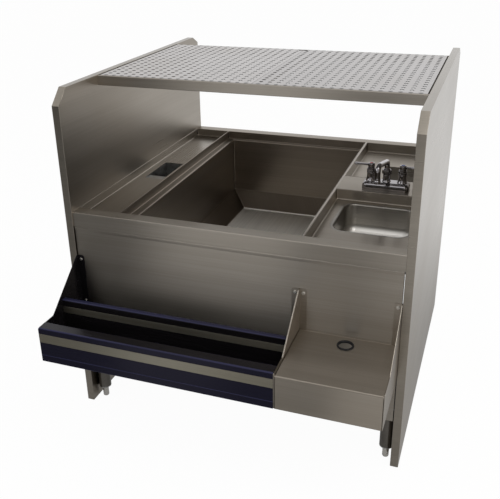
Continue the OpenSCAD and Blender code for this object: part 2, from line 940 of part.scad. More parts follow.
// Lift-out disc with drain holes and a knob
module strainer(x, y, z) {
    translate([x, y, z - seat_deep]) {
        difference() {
            cylinder(r = strainer_r, h = sheet_t);
            for (i = [0 : strain_holes - 1])
                rotate([0, 0, i * 360 / strain_holes])
                    translate([strain_ring_r, 0, -past])
                        cylinder(r = strain_hole_r, h = sheet_t + 2 * past);
        }
        cylinder(r = knob_r, h = sheet_t + knob_h);
    }
}

module bin_drain() {
    color(bright)
        place()
            drain(bin_drain_x, bin_drain_y, bin_floor_z);
}

module sink_drain() {
    color(bright)
        place()
            drain(bowl_cx, bowl_cy, bowl_z);
}

module drain_nuts() {
    bore_r = thread_r + run_fit;
    color(bright)
        place() {
            hex_nut(bin_drain_x, bin_drain_y, nut_r, bore_r, bin_bottom_z - nut_h, bin_bottom_z);
            hex_nut(bowl_cx, bowl_cy, nut_r, bore_r, bowl_z - sheet_t - nut_h, bowl_z - sheet_t);
        }
}

module bin_strainer() {
    color(bright)
        place()
            strainer(bin_drain_x, bin_drain_y, bin_floor_z);
}

module sink_strainer() {
    color(bright)
        place()
            strainer(bowl_cx, bowl_cy, bowl_z);
}

// ---- Body ----

module bolt_holes() {
    for (x = bolt_xs, z = bolt_zs)
        pin_y(x, z, bolt_r + pass_fit, flange_y0 - past, base_y0 + past);
}

module front_panel() {
    x0 = in_x0 + side_gap;
    x1 = in_x1 - side_gap;
    y1 = base_y0 + return_w;
    top = apron_z + tuck;
    color(steel)
        place()
            difference() {
                union() {
                    block(x0, x1, panel_face_y, base_y0, skirt_z, top);
                    block(x0, x1, panel_face_y, y1, skirt_z, skirt_z + sheet_t);
                    block(x0, x0 + sheet_t, panel_face_y, y1, base_z1, top);
                    block(x1 - sheet_t, x1, panel_face_y, y1, base_z1, top);
                }
                bolt_holes();
            }
}

module back_panel() {
    x0 = in_x0 + side_gap;
    x1 = in_x1 - side_gap;
    y0 = base_y1 - return_w;
    top = apron_z + tuck;
    color(steel)
        place() {
            block(x0, x1, base_y1, back_face_y, skirt_z, top);
            block(x0, x1, y0, back_face_y, skirt_z, skirt_z + sheet_t);
            block(x0, x0 + sheet_t, y0, back_face_y, base_z1, top);
            block(x1 - sheet_t, x1, y0, back_face_y, base_z1, top);
        }
}

// Welded ring of channels that the legs stand under
module base_channels() {
    skirt_x0 = in_x0 + channel_w;
    skirt_x1 = in_x1 - channel_w;
    skirt_y0 = base_y0 + channel_w;
    skirt_y1 = base_y1 - channel_w;
    color(dull_steel)
        place()
            difference() {
                union() {
                    block(in_x0, in_x1, base_y0, base_y1, leg_top_z, base_z1);
                    block(skirt_x0 - sheet_t, skirt_x1 + sheet_t, skirt_y0 - sheet_t, skirt_y1 + sheet_t,
                        skirt_z, base_z1);
                }
                block(skirt_x0, skirt_x1, skirt_y0, skirt_y1, skirt_z - past, base_z1 + past);
            }
}

module leg_tubes() {
    color(steel)
        place()
            for (p = leg_places)
                difference() {
                    post(p[0], p[1], leg_r, leg_z, leg_top_z);
                    post(p[0], p[1], leg_r - leg_t, leg_z - past, leg_top_z + past);
                }
}

module leg_inserts() {
    color(dull_steel)
        place()
            for (p = leg_places)
                difference() {
                    union() {
                        post(p[0], p[1], leg_r, foot_top_z, leg_z);
                        post(p[0], p[1], leg_r - leg_t - run_fit, leg_z, leg_z + insert_len);
                    }
                    post(p[0], p[1], foot_stem_r + run_fit, foot_top_z - past, leg_z + insert_len + past);
                }
}

// Adjustable foot: rounded sole, hexagon and threaded stem
module foot(p) {
    sole_r = foot_r - foot_round_r;
    translate([p[0], p[1], 0]) {
        rotate_extrude() {
            translate([0, foot_round_r])
                square([foot_r, foot_top_z - foot_round_r]);
            square([sole_r, foot_round_r]);
            intersection() {
                translate([sole_r, foot_round_r])
                    circle(foot_round_r);
                translate([sole_r, 0])
                    square(foot_round_r);
            }
        }
        translate([0, 0, foot_top_z - foot_hex_h])
            cylinder(r = foot_hex_r, h = foot_hex_h, $fn = 6);
        cylinder(r = foot_stem_r, h = foot_top_z + foot_stem_len);
    }
}

module foot_front_left() {
    color(bright)
        place()
            foot(leg_places[0]);
}

module foot_front_right() {
    color(bright)
        place()
            foot(leg_places[1]);
}

module foot_rear_left() {
    color(bright)
        place()
            foot(leg_places[2]);
}

module foot_rear_right() {
    color(bright)
        place()
            foot(leg_places[3]);
}

// ---- Bottle rail ----

module rail_trough() {
    tier_back = tier_top - tier_y;
    lip_y = rail_flange - rail_reach;
    color(black)
        place()
            along_x(rail_x0, rail_x1) {
                bar(-rail_reach, -rail_reach + sheet_t, rail_z, rail_top_z);
                bar(-rail_reach, lip_y, rail_top_z - sheet_t, rail_top_z);
                bar(lip_y - sheet_t, lip_y, rail_top_z - rail_lip, rail_top_z);
                bar(-rail_reach, flange_y0, rail_z, rail_z + sheet_t);
                bar(flange_y0 - sheet_t, flange_y0, rail_z, rail_z + rail_back_h);
                bar(-tier_y, -tier_y + sheet_t, rail_z, tier_z);
                bar(-tier_y, tier_back, tier_z - sheet_t, tier_z);
                bar(tier_back - sheet_t, tier_back, tier_z - rail_lip, tier_z);
                bar(-rail_reach - strip_t, -rail_reach, rail_z, rail_z + hem_h);
            }
}

// Upright plate with a level nose and a bolting flange on the side that it is told
module bracket(x0, flange_side) {
    x1 = x0 + bracket_t;
    difference() {
        union() {
            along_x(x0, x1)
                polygon([
                    [panel_face_y, rail_z],
                    [-rail_reach, rail_z],
                    [-rail_reach, rail_z + bracket_nose_h],
                    [-rail_reach + bracket_nose, rail_z + bracket_nose_h],
                    [0, bracket_top_z],
                    [panel_face_y, bracket_top_z]
                ]);
            if (flange_side > 0)
                block(x0, x1 + bracket_flange, flange_y0, panel_face_y, rail_z, bracket_top_z);
            else
                block(x0 - bracket_flange, x1, flange_y0, panel_face_y, rail_z, bracket_top_z);
        }
        bolt_holes();
    }
}

module rail_left_bracket() {
    color(black)
        place()
            bracket(rail_x0 - bracket_t, 1);
}

module rail_right_bracket() {
    color(steel)
        place()
            bracket(rail_x1, -1);
}

module rail_front_strip() {
    z0 = rail_z + front_strip_z;
    color(steel)
        place()
            block(rail_x0, rail_x1, -rail_reach - strip_t, -rail_reach, z0, z0 + front_strip_h);
}

module rail_rear_strip() {
    z0 = rail_z + rear_strip_z;
    color(steel)
        place()
            block(rail_x0, rail_x1, -tier_y - strip_t, -tier_y, z0, z0 + rear_strip_h);
}

// ---- Step-down box ----

module box_shell() {
    inner_x0 = box_x0 + bracket_flange;
    inner_x1 = box_x1 - bracket_flange;
    fold_y = -rail_reach + box_fold;
    color(steel)
        place()
            difference() {
                union() {
                    block(box_x0, box_x1, -rail_reach, -rail_reach + sheet_t, box_z0, box_z1);
                    block(box_x0, box_x0 + sheet_t, -rail_reach, flange_y0, box_z0, box_z1);
                    block(box_x1 - sheet_t, box_x1, -rail_reach, flange_y0, box_z0, box_z1);
                    block(box_x0, box_x1, -rail_reach, flange_y0, box_z1 - sheet_t, box_z1);
                    block(inner_x0, inner_x1, -rail_reach, panel_face_y, box_z1 - sheet_t, box_z1);
                    block(inner_x0, inner_x1, panel_face_y - sheet_t, panel_face_y,
                        box_z1 - sheet_t, box_z1 + box_upturn);
                    block(box_x0, box_x1, -rail_reach, fold_y, box_z0, box_z0 + sheet_t);
                }
                post(grommet_xc, -grommet_y, grommet_neck_r + pass_fit, box_z1 - sheet_t - past, box_z1 + past);
            }
}

module box_left_gusset() {
    color(steel)
        place()
            bracket(gusset_x0, 1);
}

module box_right_gusset() {
    color(steel)
        place()
            bracket(box_x1, -1);
}

// Rubber ring whose two lips hold the edge of the hole between them
module hose_grommet() {
    color(rubber)
        place()
            translate([grommet_xc, -grommet_y, box_z1])
                rotate_extrude() {
                    translate([grommet_bore_r, 0])
                        square([grommet_r - grommet_bore_r, grommet_lip]);
                    translate([grommet_bore_r, -sheet_t])
                        square([grommet_neck_r - grommet_bore_r, sheet_t]);
                    translate([grommet_bore_r, -sheet_t - grommet_lip])
                        square([grommet_r - grommet_bore_r, grommet_lip]);
                }
}

// ---- Bracket fasteners ----

module bracket_bolts() {
    end_y = base_y0 + bolt_nut_h + past;
    color(bright)
        place()
            for (x = bolt_xs, z = bolt_zs) {
                pin_y(x, z, bolt_head_r, flange_y0 - bolt_head_h, flange_y0);
                pin_y(x, z, bolt_r, flange_y0 - bolt_head_h, end_y);
            }
}

module bracket_nuts() {
    color(bright)
        place()
            for (x = bolt_xs, z = bolt_zs)
                translate([x, base_y0 + bolt_nut_h, z])
                    rotate([90, 0, 0])
                        hex_nut(0, 0, bolt_head_r, bolt_r + run_fit, 0, bolt_nut_h);
}

// ---- Shelf ----

module shelf_front_rail() {
    flat_y = shelf_y + shelf_flat;
    color(steel)
        place()
            along_x(in_x0, in_x1) {
                bar(shelf_y, shelf_y + sheet_t, shelf_z0, shelf_z1);
                bar(shelf_y, flat_y, shelf_z1 - sheet_t, shelf_z1);
                bar(shelf_y, flat_y, shelf_z0, shelf_z0 + sheet_t);
                bar(flat_y - sheet_t, flat_y, ledge_top_z - sheet_t, shelf_z1);
                bar(flat_y - sheet_t, front_ledge_y, ledge_top_z - sheet_t, ledge_top_z);
            }
}

module shelf_rear_rail() {
    color(steel)
        place()
            along_x(in_x0, in_x1) {
                bar(shelf_y1 - sheet_t, shelf_y1, shelf_z0, shelf_z1);
                bar(rear_ledge_y, shelf_y1, ledge_top_z - sheet_t, ledge_top_z);
                bar(shelf_y1 - shelf_flat, shelf_y1, shelf_z0, shelf_z0 + sheet_t);
            }
}

module shelf_side_ledges() {
    color(steel)
        place()
            for (side = [0, 1]) {
                wall_x = side == 0 ? in_x0 : in_x1 - sheet_t;
                flat_x = side == 0 ? in_x0 : in_x1 - side_ledge_w;
                block(wall_x, wall_x + sheet_t, front_ledge_y, rear_ledge_y,
                    ledge_top_z - side_ledge_h, ledge_top_z);
                block(flat_x, flat_x + side_ledge_w, front_ledge_y, rear_ledge_y,
                    ledge_top_z - sheet_t, ledge_top_z);
            }
}

// Inverted channel under the seam between the two sheets
module shelf_centre_bar() {
    x0 = seam_x - centre_bar_w / 2;
    x1 = seam_x + centre_bar_w / 2;
    z0 = ledge_top_z - side_ledge_h;
    color(steel)
        place() {
            block(x0, x1, front_ledge_y, rear_ledge_y, ledge_top_z - sheet_t, ledge_top_z);
            block(x0, x0 + sheet_t, front_ledge_y, rear_ledge_y, z0, ledge_top_z);
            block(x1 - sheet_t, x1, front_ledge_y, rear_ledge_y, z0, ledge_top_z);
        }
}

// Number of holes that fit between two margins
function hole_count(span, margin) = 1 + floor((span - 2 * margin) / hole_pitch);

// Lift-out sheet with folded edges, a square grid of drain holes and half of the finger notch
module shelf_sheet(x0, x1) {
    span_x = x1 - x0;
    span_y = sheet_y1 - sheet_y0;
    columns = hole_count(span_x, hole_side);
    rows = hole_count(span_y, hole_end);
    first_x = (x0 + x1 - (columns - 1) * hole_pitch) / 2;
    first_y = (sheet_y0 + sheet_y1 - (rows - 1) * hole_pitch) / 2;
    notch_y1 = sheet_y1 - notch_back;
    difference() {
        union() {
            translate([0, 0, shelf_z1 - sheet_t])
                linear_extrude(sheet_t)
                    difference() {
                        translate([x0, sheet_y0])
                            square([span_x, span_y]);
                        for (i = [0 : columns - 1], j = [0 : rows - 1])
                            translate([first_x + i * hole_pitch, first_y + j * hole_pitch])
                                circle(hole_r, $fn = 24);
                    }
            block(x0, x0 + sheet_t, sheet_y0, sheet_y1, ledge_top_z, shelf_z1);
            block(x1 - sheet_t, x1, sheet_y0, sheet_y1, ledge_top_z, shelf_z1);
            block(x0, x1, sheet_y0, sheet_y0 + sheet_t, ledge_top_z, shelf_z1);
            block(x0, x1, sheet_y1 - sheet_t, sheet_y1, ledge_top_z, shelf_z1);
        }
        block(seam_x - notch_half, seam_x + notch_half, notch_y1 - notch_len, notch_y1,
            ledge_top_z - past, shelf_z1 + past);
    }
}

module shelf_sheet_left() {
    color(bright)
        place()
            shelf_sheet(in_x0 + sheet_side_gap, seam_x - seam_gap / 2);
}

module shelf_sheet_right() {
    color(bright)
        place()
            shelf_sheet(seam_x + seam_gap / 2, in_x1 - sheet_side_gap);
}

// ---- Faucet ----

module faucet_base() {
    color(bright)
        place()
            difference() {
                union() {
                    translate([tap_x, tap_yc, deck_h])
                        linear_extrude(tap_base_h)
                            round_rect(tap_base_w, tap_base_d, tap_corner_r);
                    post(tap_x, tap_yc, pillar_r, deck_h, pillar_z);
                    translate([tap_x, tap_yc, pillar_z])
                        cylinder(r = spout_nut_r, h = spout_nut_h, $fn = 6);
                }
                post(tap_x, tap_yc, swivel_r + run_fit, spout_z - swivel_deep - pass_fit, spout_z + past);
                for (x = valve_xs)
                    post(x, tap_yc, shank_r + pass_fit, deck_h - past, tap_top_z + past);
            }
}

module valve_bodies() {
    color(bright)
        place()
            for (x = valve_xs) {
                post(x, tap_yc, shank_end_r, shank_low_z, bonnet_z);
                post(x, tap_yc, shank_r, shank_low_z + shank_end_len, bonnet_z);
                post(x, tap_yc, valve_r, tap_top_z, bonnet_z);
                translate([x, tap_yc, bonnet_z])
                    cylinder(r = bonnet_r, h = bonnet_h, $fn = 6);
                post(x, tap_yc, stem_r, bonnet_z, hub_z + hub_h - 2);
            }
}

module shank_nuts() {
    top = deck_h - sheet_t;
    color(bright)
        place()
            for (x = valve_xs)
                hex_nut(x, tap_yc, shank_nut_r, shank_r + run_fit, top - shank_nut_h, top);
}

// Hub and blade; the blade points to the side that it is told
module lever(x, side) {
    tip_x = lever_len - blade_tip_r;
    translate([x, tap_yc, hub_z])
        difference() {
            union() {
                cylinder(r = hub_r, h = hub_h);
                translate([0, 0, (hub_h - blade_h) / 2])
                    linear_extrude(blade_h) {
                        polygon([
                            [0, -blade_root],
                            [side * tip_x, -blade_tip_r],
                            [side * tip_x, blade_tip_r],
                            [0, blade_root]
                        ]);
                        translate([side * tip_x, 0])
                            circle(blade_tip_r);
                    }
            }
            translate([0, 0, -past])
                cylinder(r = stem_r + run_fit, h = past + hub_h - 2 + pass_fit);
        }
}

module lever_left() {
    color(bright)
        place()
            lever(valve_xs[0], -1);
}

module lever_right() {
    color(bright)
        place()
            lever(valve_xs[1], 1);
}

module button_left() {
    color([0.75, 0.12, 0.12])
        place()
            post(valve_xs[0], tap_yc, button_r, hub_z + hub_h, hub_z + hub_h + button_h);
}

module button_right() {
    color([0.15, 0.25, 0.75])
        place()
            post(valve_xs[1], tap_yc, button_r, hub_z + hub_h, hub_z + hub_h + button_h);
}

// Moves to the faucet's axis, with local +x along the spout's reach
module spout_frame() {
    place()
        translate([tap_x, tap_yc, 0])
            rotate([0, 0, -90 - spout_rest])
                children();
}

// Stations along the spout's centre line in its x-z plane: [x, z, lean of the tube from upright]
spout_lean = 90 - spout_climb;
arm_end = [spout_bend_r * (1 - cos(spout_lean)) + arm_len * cos(spout_climb), arm_end_z];
drop_centre = arm_end + spout_bend_r * [cos(spout_lean), -sin(spout_lean)];
function rising(a) = [spout_bend_r * (1 - cos(a)), bend_z + spout_bend_r * sin(a), a];
function falling(a) = [drop_centre[0] - spout_bend_r * cos(a), drop_centre[1] + spout_bend_r * sin(a), a];
spout_stations = concat(
    [[0, spout_z, 0]],
    [for (i = [0 : bend_steps]) rising(spout_lean * i / bend_steps)],
    [for (i = [0 : bend_steps]) falling(spout_lean + (180 - spout_lean) * i / bend_steps)],
    [[spout_reach, outlet_z, 180]]
);

// Round tube swept through the stations
module swept_tube(stations, r) {
    n = tube_sides;
    last = len(stations) - 1;
    points = [
        for (s = stations, k = [0 : n - 1])
            let (across = r * cos(k * 360 / n))
                [s[0] + across * cos(s[2]), r * sin(k * 360 / n), s[1] - across * sin(s[2])]
    ];
    sides = [
        for (i = [0 : last - 1], k = [0 : n - 1])
            let (next = (k + 1) % n)
                [i * n + k, (i + 1) * n + k, (i + 1) * n + next, i * n + next]
    ];
    foot_cap = [for (k = [0 : n - 1]) k];
    end_cap = [for (k = [0 : n - 1]) last * n + n - 1 - k];
    polyhedron(points, concat(sides, [foot_cap], [end_cap]));
}

module spout() {
    color(bright)
        spout_frame() {
            post(0, 0, swivel_r, spout_z - swivel_deep, spout_z);
            swept_tube(spout_stations, spout_r);
        }
}

module aerator() {
    color(bright)
        spout_frame()
            post(spout_reach, 0, aerator_r, outlet_z - aerator_h, outlet_z);
}

left_panel_skins();
left_panel_core();
left_panel_caps();
right_panel_skins();
right_panel_core();
right_panel_caps();
front_rim();
rear_rim();
trough_pan();
hose_chase();
ice_bin_liner();
bin_insulation();
bin_shell();
divider_cap();
sink_pan();
sink_bowl();
faucet_deck();
rear_tray();
bin_drain();
sink_drain();
drain_nuts();
bin_strainer();
sink_strainer();
front_panel();
back_panel();
base_channels();
leg_tubes();
leg_inserts();
foot_front_left();
foot_front_right();
foot_rear_left();
foot_rear_right();
rail_trough();
rail_left_bracket();
rail_right_bracket();
rail_front_strip();
rail_rear_strip();
box_shell();
box_left_gusset();
box_right_gusset();
hose_grommet();
bracket_bolts();
bracket_nuts();
shelf_front_rail();
shelf_rear_rail();
shelf_side_ledges();
shelf_centre_bar();
shelf_sheet_left();
shelf_sheet_right();
faucet_base();
valve_bodies();
shank_nuts();
lever_left();
lever_right();
button_left();
button_right();
spout();
aerator();
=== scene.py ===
"""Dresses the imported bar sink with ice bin: folded steel, faucet, materials, studio and camera."""

import math

import bmesh
import bpy
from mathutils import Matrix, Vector


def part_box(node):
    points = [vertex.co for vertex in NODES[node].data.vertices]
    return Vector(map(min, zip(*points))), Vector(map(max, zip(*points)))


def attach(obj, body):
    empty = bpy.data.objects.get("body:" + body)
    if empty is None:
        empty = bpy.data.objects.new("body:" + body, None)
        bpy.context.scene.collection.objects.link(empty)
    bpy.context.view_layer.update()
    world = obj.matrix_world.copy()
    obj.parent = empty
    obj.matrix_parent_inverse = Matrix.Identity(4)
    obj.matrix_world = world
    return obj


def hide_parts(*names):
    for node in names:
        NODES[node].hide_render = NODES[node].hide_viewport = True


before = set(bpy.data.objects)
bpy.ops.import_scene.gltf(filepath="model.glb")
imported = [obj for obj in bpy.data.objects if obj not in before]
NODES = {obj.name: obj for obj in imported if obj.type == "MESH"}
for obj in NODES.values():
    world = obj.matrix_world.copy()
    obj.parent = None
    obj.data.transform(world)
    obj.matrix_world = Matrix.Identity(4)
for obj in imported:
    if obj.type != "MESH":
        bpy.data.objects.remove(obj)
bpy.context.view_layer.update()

# Plan sizes are in millimetres: x from the left panel's outer face, y from the panels' front edges
# going back, z from the floor. Places inside the materials are in metres, in the model's frame.
PLAN_X0, PLAN_Y0 = 533.5, 395.0      # the model's origin in the plan
MM = 0.001
PI = math.pi
T = 1.5                              # sheet steel
IN0, IN1 = 24.0, 1043.0              # inner faces of the side panels
DECK = 707.0                         # top of the deck
PAN_Y0, PAN_Y1 = 45.2, 989.0         # front and rear edges of the pans
BIN_X0, BIN_X1 = 166.75, 745.0       # left and right edges of the ice bin
SINK_X0 = 752.0                      # left edge of the sink's side
FLANGE_Y, PANEL_Y = 3.6, 5.1         # faces of the flanges on the front panel, and of the panel
RAIL_X0, RAIL_X1 = 25.9, 749.6
RAIL_Y0 = -241.0                     # front face of the bottle rail and of the step-down box
RAIL_Z0, RAIL_Z1 = 321.0, 435.0
BOX_X0, BOX_X1 = 753.1, 1041.1
BOX_TOP = 427.0
GROMMET_X, GROMMET_Y = 899.1, -41.0
BIN_DRAIN = (455.875, 517.1, 400.0)
SINK_DRAIN = (906.0, 307.0, 573.0)
TAP_X, TAP_Y = 906.0, 497.0          # faucet's middle
VALVES = (855.0, 957.0)


def place(x, y, z):
    return Vector((x - PLAN_X0, y - PLAN_Y0, z)) * MM


# ---- Materials ----

# Painted highlights on folds of the bottle rail: lowest and highest y, lowest and highest z.
PAINTED_FOLD_HIGHLIGHTS = ((-0.638, -0.631, 0.4322, 0.4352), (-0.640, -0.634, 0.3425, 0.3445),
          (-0.6012, -0.5985, 0.425, 0.436), (-0.503, -0.484, 0.4565, 0.4592),
          (-0.640, -0.630, 0.3205, 0.3228), (-0.503, -0.484, 0.4135, 0.4142))
HOLE_PITCH = 0.0275                  # shelf sheets
HOLE_SHADE_RADII = (0.0055, 0.0078)          # radii between which the painted shade round a hole fades
SHEET_MARGINS = (0.012, 0.020)       # least distance of a hole's middle from the sheet's edges


class Graph:
    """Short way to write a node tree: values are set on sockets, sockets are linked."""

    def __init__(self, name):
        self.mat = bpy.data.materials.new(name)
        self.mat.use_nodes = True
        self.tree = self.mat.node_tree
        self.bsdf = next(n for n in self.tree.nodes if n.type == "BSDF_PRINCIPLED")
        self.geo = self.tree.nodes.new("ShaderNodeNewGeometry")
        self.pos = self.geo.outputs["Position"]

    def add(self, kind, inputs=(), **attrs):
        n = self.tree.nodes.new("ShaderNode" + kind)
        for key, value in attrs.items():
            setattr(n, key, value)
        for key, value in dict(inputs).items():
            self.put(n.inputs[key], value)
        return n

    def put(self, socket, value):
        if isinstance(value, bpy.types.NodeSocket):
            self.tree.links.new(value, socket)
        else:
            socket.default_value = value

    def math(self, op, *values):
        return self.add("Math", dict(enumerate(values)), operation=op).outputs[0]

    def vec(self, op, *values, out=0):
        return self.add("VectorMath", dict(enumerate(values)), operation=op).outputs[out]

    def dot(self, a, b):
        return self.vec("DOT_PRODUCT", a, b, out=1)

    def axes(self):
        """x, y and z of the shaded point."""
        return self.add("SeparateXYZ", {0: self.pos}).outputs

    def distance(self, a, b):
        """Length of the flat vector (a, b)."""
        squares = self.math("POWER", a, 2.0), self.math("POWER", b, 2.0)
        return self.math("SQRT", self.math("ADD", *squares))

    def noise(self, vector, scale, detail=3.0, rough=0.5):
        return self.add("TexNoise", {"Vector": vector, "Scale": scale, "Detail": detail,
                                     "Roughness": rough}).outputs["Fac"]

    def ramp(self, value, low, high, to_low, to_high, smooth=True):
        n = self.add("MapRange", {"Value": value, "From Min": low, "From Max": high,
                                  "To Min": to_low, "To Max": to_high})
        n.interpolation_type = "SMOOTHSTEP" if smooth else "LINEAR"
        return n.outputs[0]

    def within(self, value, low, high, soft=0.0004):
        """1 between low and high, 0 outside, with soft ends."""
        return self.math("MULTIPLY", self.ramp(value, low - soft, low + soft, 0.0, 1.0),
                         self.ramp(value, high - soft, high + soft, 1.0, 0.0))

    def mix(self, factor, a, b):
        n = self.add("Mix", data_type="RGBA")
        self.put(n.inputs["Factor"], factor)
        for key, value in (("A", a), ("B", b)):
            linked = isinstance(value, bpy.types.NodeSocket)
            self.put(n.inputs[key], value if linked else (*value, 1.0))
        return n.outputs["Result"]

    def bump(self, height, strength, distance, normal=None):
        inputs = {"Height": height, "Strength": strength, "Distance": distance}
        if normal is not None:
            inputs["Normal"] = normal
        return self.add("Bump", inputs).outputs[0]

    def finish(self, **sockets):
        for key, value in sockets.items():
            self.put(self.bsdf.inputs[key.replace("_", " ")], value)
        return self.mat


def times(colour, factors):
    return tuple(c * k for c, k in zip(colour, factors))


def brushed(name, dark, light, rough=0.3, aniso=0.65, along="level", heights=(), holes=None):
    """Brushed sheet steel: long grain, broad streaks, faint smudges and small scratches. The
    grain runs level on walls, and on floors along x, or along y where along is "deep". heights
    are (lowest z, highest z, fade, factors, extra roughness) of bands on walls and floors whose
    lightness is written in after the photo: painted light where they are lighter, painted shade
    where darker. holes is the first hole's place in a grid with a ring of painted shade round
    each hole."""
    g = Graph(name)
    pos, nor = g.pos, g.geo.outputs["True Normal"]
    flat = g.ramp(g.math("ABSOLUTE", g.dot(nor, (0, 0, 1))), 0.7, 0.8, 0.0, 1.0, False)
    level = g.vec("NORMALIZE", g.vec("CROSS_PRODUCT", nor, (0.0, 0.02, 1.0)))
    run = (1.0, 0.0, 0.0) if along == "level" else (0.0, 1.0, 0.0)
    pick = g.add("Mix", {0: flat, 4: level, 5: run}, data_type="VECTOR")
    tangent = pick.outputs[1]
    across = g.vec("CROSS_PRODUCT", nor, tangent)
    u, v = g.dot(pos, tangent), g.dot(pos, across)

    def streak(long, fine):
        return g.add("CombineXYZ", {0: g.math("MULTIPLY", u, long), 1: g.math("MULTIPLY", v, fine),
                                    2: g.dot(nor, (3.1, 5.7, 7.3))}).outputs[0]

    hair = g.noise(streak(9.0, 1500.0), 1.0, 2.0)
    line = g.noise(streak(2.2, 260.0), 1.0, 3.0)
    band = g.noise(streak(0.8, 26.0), 1.0, 2.0)
    cloud = g.noise(pos, 1.7, 3.0, 0.5)
    spots = g.noise(pos, 23.0, 3.0, 0.55)
    scratch = g.ramp(g.noise(streak(16.0, 420.0), 1.0, 1.0), 0.70, 0.78, 0.0, 1.0)
    tone = g.math("ADD", g.math("MULTIPLY", line, 0.5), g.math("MULTIPLY", band, 0.5))
    colour = g.mix(g.ramp(tone, 0.30, 0.70, 0.1, 0.9), dark, light)
    warm = times(dark, (0.97, 0.90, 0.80))
    colour = g.mix(g.ramp(cloud, 0.45, 0.75, 0.0, 0.3), colour, warm)
    roughness = g.math("ADD", g.ramp(cloud, 0.3, 0.7, rough - 0.02, rough + 0.02),
                       g.ramp(line, 0.3, 0.7, -0.015, 0.015))
    roughness = g.math("ADD", roughness, g.ramp(spots, 0.58, 0.75, 0.0, 0.02))
    roughness = g.math("ADD", roughness, g.math("MULTIPLY", scratch, 0.03))
    # Bands of painted light and painted shade by height.
    at = g.axes()
    for low, high, fade, factors, rougher in heights:
        painted_band = g.math("MULTIPLY", g.ramp(at[2], low, low + 0.002, 0.0, 1.0),
                        g.ramp(at[2], high, high + fade, 1.0, 0.0))
        colour = g.mix(painted_band, colour, g.vec("MULTIPLY", colour, factors))
        roughness = g.math("ADD", roughness, g.math("MULTIPLY", painted_band, rougher))
    if holes:
        off = [g.math("WRAP", g.math("SUBTRACT", at[k], holes[k]), HOLE_PITCH / 2, -HOLE_PITCH / 2)
               for k in (0, 1)]
        # A ring of painted shade round each hole.
        hole_shade = g.ramp(g.distance(*off), *HOLE_SHADE_RADII, 0.92, 0.0)
        colour = g.mix(hole_shade, colour, (0.03, 0.027, 0.024))
    normal = g.bump(line, 0.008, 0.0004, g.bump(hair, 0.05, 0.0002))
    return g.finish(Base_Color=colour, Roughness=roughness, Normal=normal, Tangent=across,
                    Metallic=1.0, Anisotropic=aniso)


def dull(name, dark, light, rough, metallic, scale, bump, coat=0.0, specular=0.5):
    """Cloudy two-tone finish for galvanised sheet, foam, board, rubber and plastic parts."""
    g = Graph(name)
    cells = g.add("TexVoronoi", {"Vector": g.pos, "Scale": scale}).outputs["Distance"]
    cloud = g.noise(g.pos, scale * 0.35, 4.0, 0.6)
    fine = g.noise(g.pos, scale * 9.0, 2.0)
    tone = g.math("ADD", g.math("MULTIPLY", cells, 0.45), g.math("MULTIPLY", cloud, 0.75))
    colour = g.mix(g.ramp(tone, 0.3, 0.9, 0.0, 1.0), dark, light)
    roughness = g.math("ADD", g.ramp(cloud, 0.3, 0.7, rough - 0.05, rough + 0.06),
                       g.ramp(fine, 0.3, 0.7, -0.02, 0.02))
    return g.finish(Base_Color=colour, Roughness=roughness, Normal=g.bump(fine, bump, 0.0004),
                    Metallic=metallic, Coat_Weight=coat, Specular_IOR_Level=specular)


def gloss_paint(name, colour, edge):
    """Black-blue gloss coating with fine orange peel, faint wipe marks and painted highlights on
    its folds. Its front face is bluer."""
    g = Graph(name)
    at = g.axes()
    wipe = g.noise(g.vec("MULTIPLY", g.pos, (3.0, 30.0, 30.0)), 1.0, 3.0)
    peel = g.noise(g.pos, 900.0, 1.0)
    # Paler bands on the rail's folds: painted highlights.
    folds = [g.math("MULTIPLY", g.within(at[1], y0, y1), g.within(at[2], z0, z1))
             for y0, y1, z0, z1 in PAINTED_FOLD_HIGHLIGHTS]
    painted_highlight = folds[0]
    for fold in folds[1:]:
        painted_highlight = g.math("MAXIMUM", painted_highlight, fold)
    front = g.ramp(at[1], -0.6352, -0.6345, 1.0, 0.0)
    tone = g.mix(g.ramp(wipe, 0.4, 0.75, 0.0, 0.6), colour, times(colour, (1.6, 1.6, 1.6)))
    tone = g.mix(front, tone, times(colour, (0.7, 0.75, 2.1)))
    tone = g.mix(g.math("MULTIPLY", painted_highlight, g.ramp(wipe, 0.3, 0.6, 0.7, 1.0)), tone, edge)
    return g.finish(Base_Color=tone, Roughness=g.ramp(wipe, 0.3, 0.7, 0.2, 0.3),
                    Normal=g.bump(peel, 0.05, 0.0003), Specular_IOR_Level=0.2,
                    Specular_Tint=(0.85, 0.8, 1.0, 1.0))


def plated(name, colour, rough):
    """Bright plating with water spots and a soft haze."""
    g = Graph(name)
    haze = g.noise(g.pos, 40.0, 4.0, 0.6)
    cells = g.add("TexVoronoi", {"Vector": g.pos, "Scale": 260.0}).outputs["Distance"]
    spots = g.math("MULTIPLY", g.ramp(cells, 0.05, 0.16, 1.0, 0.0),
                   g.ramp(haze, 0.52, 0.7, 0.0, 1.0))
    tone = g.mix(g.ramp(haze, 0.35, 0.7, 0.0, 1.0), colour, times(colour, (0.88, 0.88, 0.88)))
    roughness = g.math("ADD", g.ramp(haze, 0.3, 0.7, rough, rough + 0.06),
                       g.math("MULTIPLY", spots, 0.12))
    return g.finish(Base_Color=tone, Roughness=roughness, Metallic=1.0,
                    Normal=g.bump(g.noise(g.pos, 420.0, 2.0), 0.02, 0.0003))


def first_hole(node):
    """Place of the hole nearest to the corner of a shelf sheet's centred grid."""
    out = []
    for lo, hi, margin in zip(*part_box(node), SHEET_MARGINS):
        count = math.floor((hi - lo - 2 * margin) / HOLE_PITCH + 1e-4)
        out.append((lo + hi - count * HOLE_PITCH) / 2)
    return out


def shelf_steel(side, tone):
    # Lighter than the other steels: painted light on the top shelf.
    return brushed("brushed_steel_sheet_" + side, tuple(0.40 * k for k in tone),
                   tuple(0.46 * k for k in tone), rough=0.33, along="deep",
                   holes=first_hole("shelf_sheet_" + side))


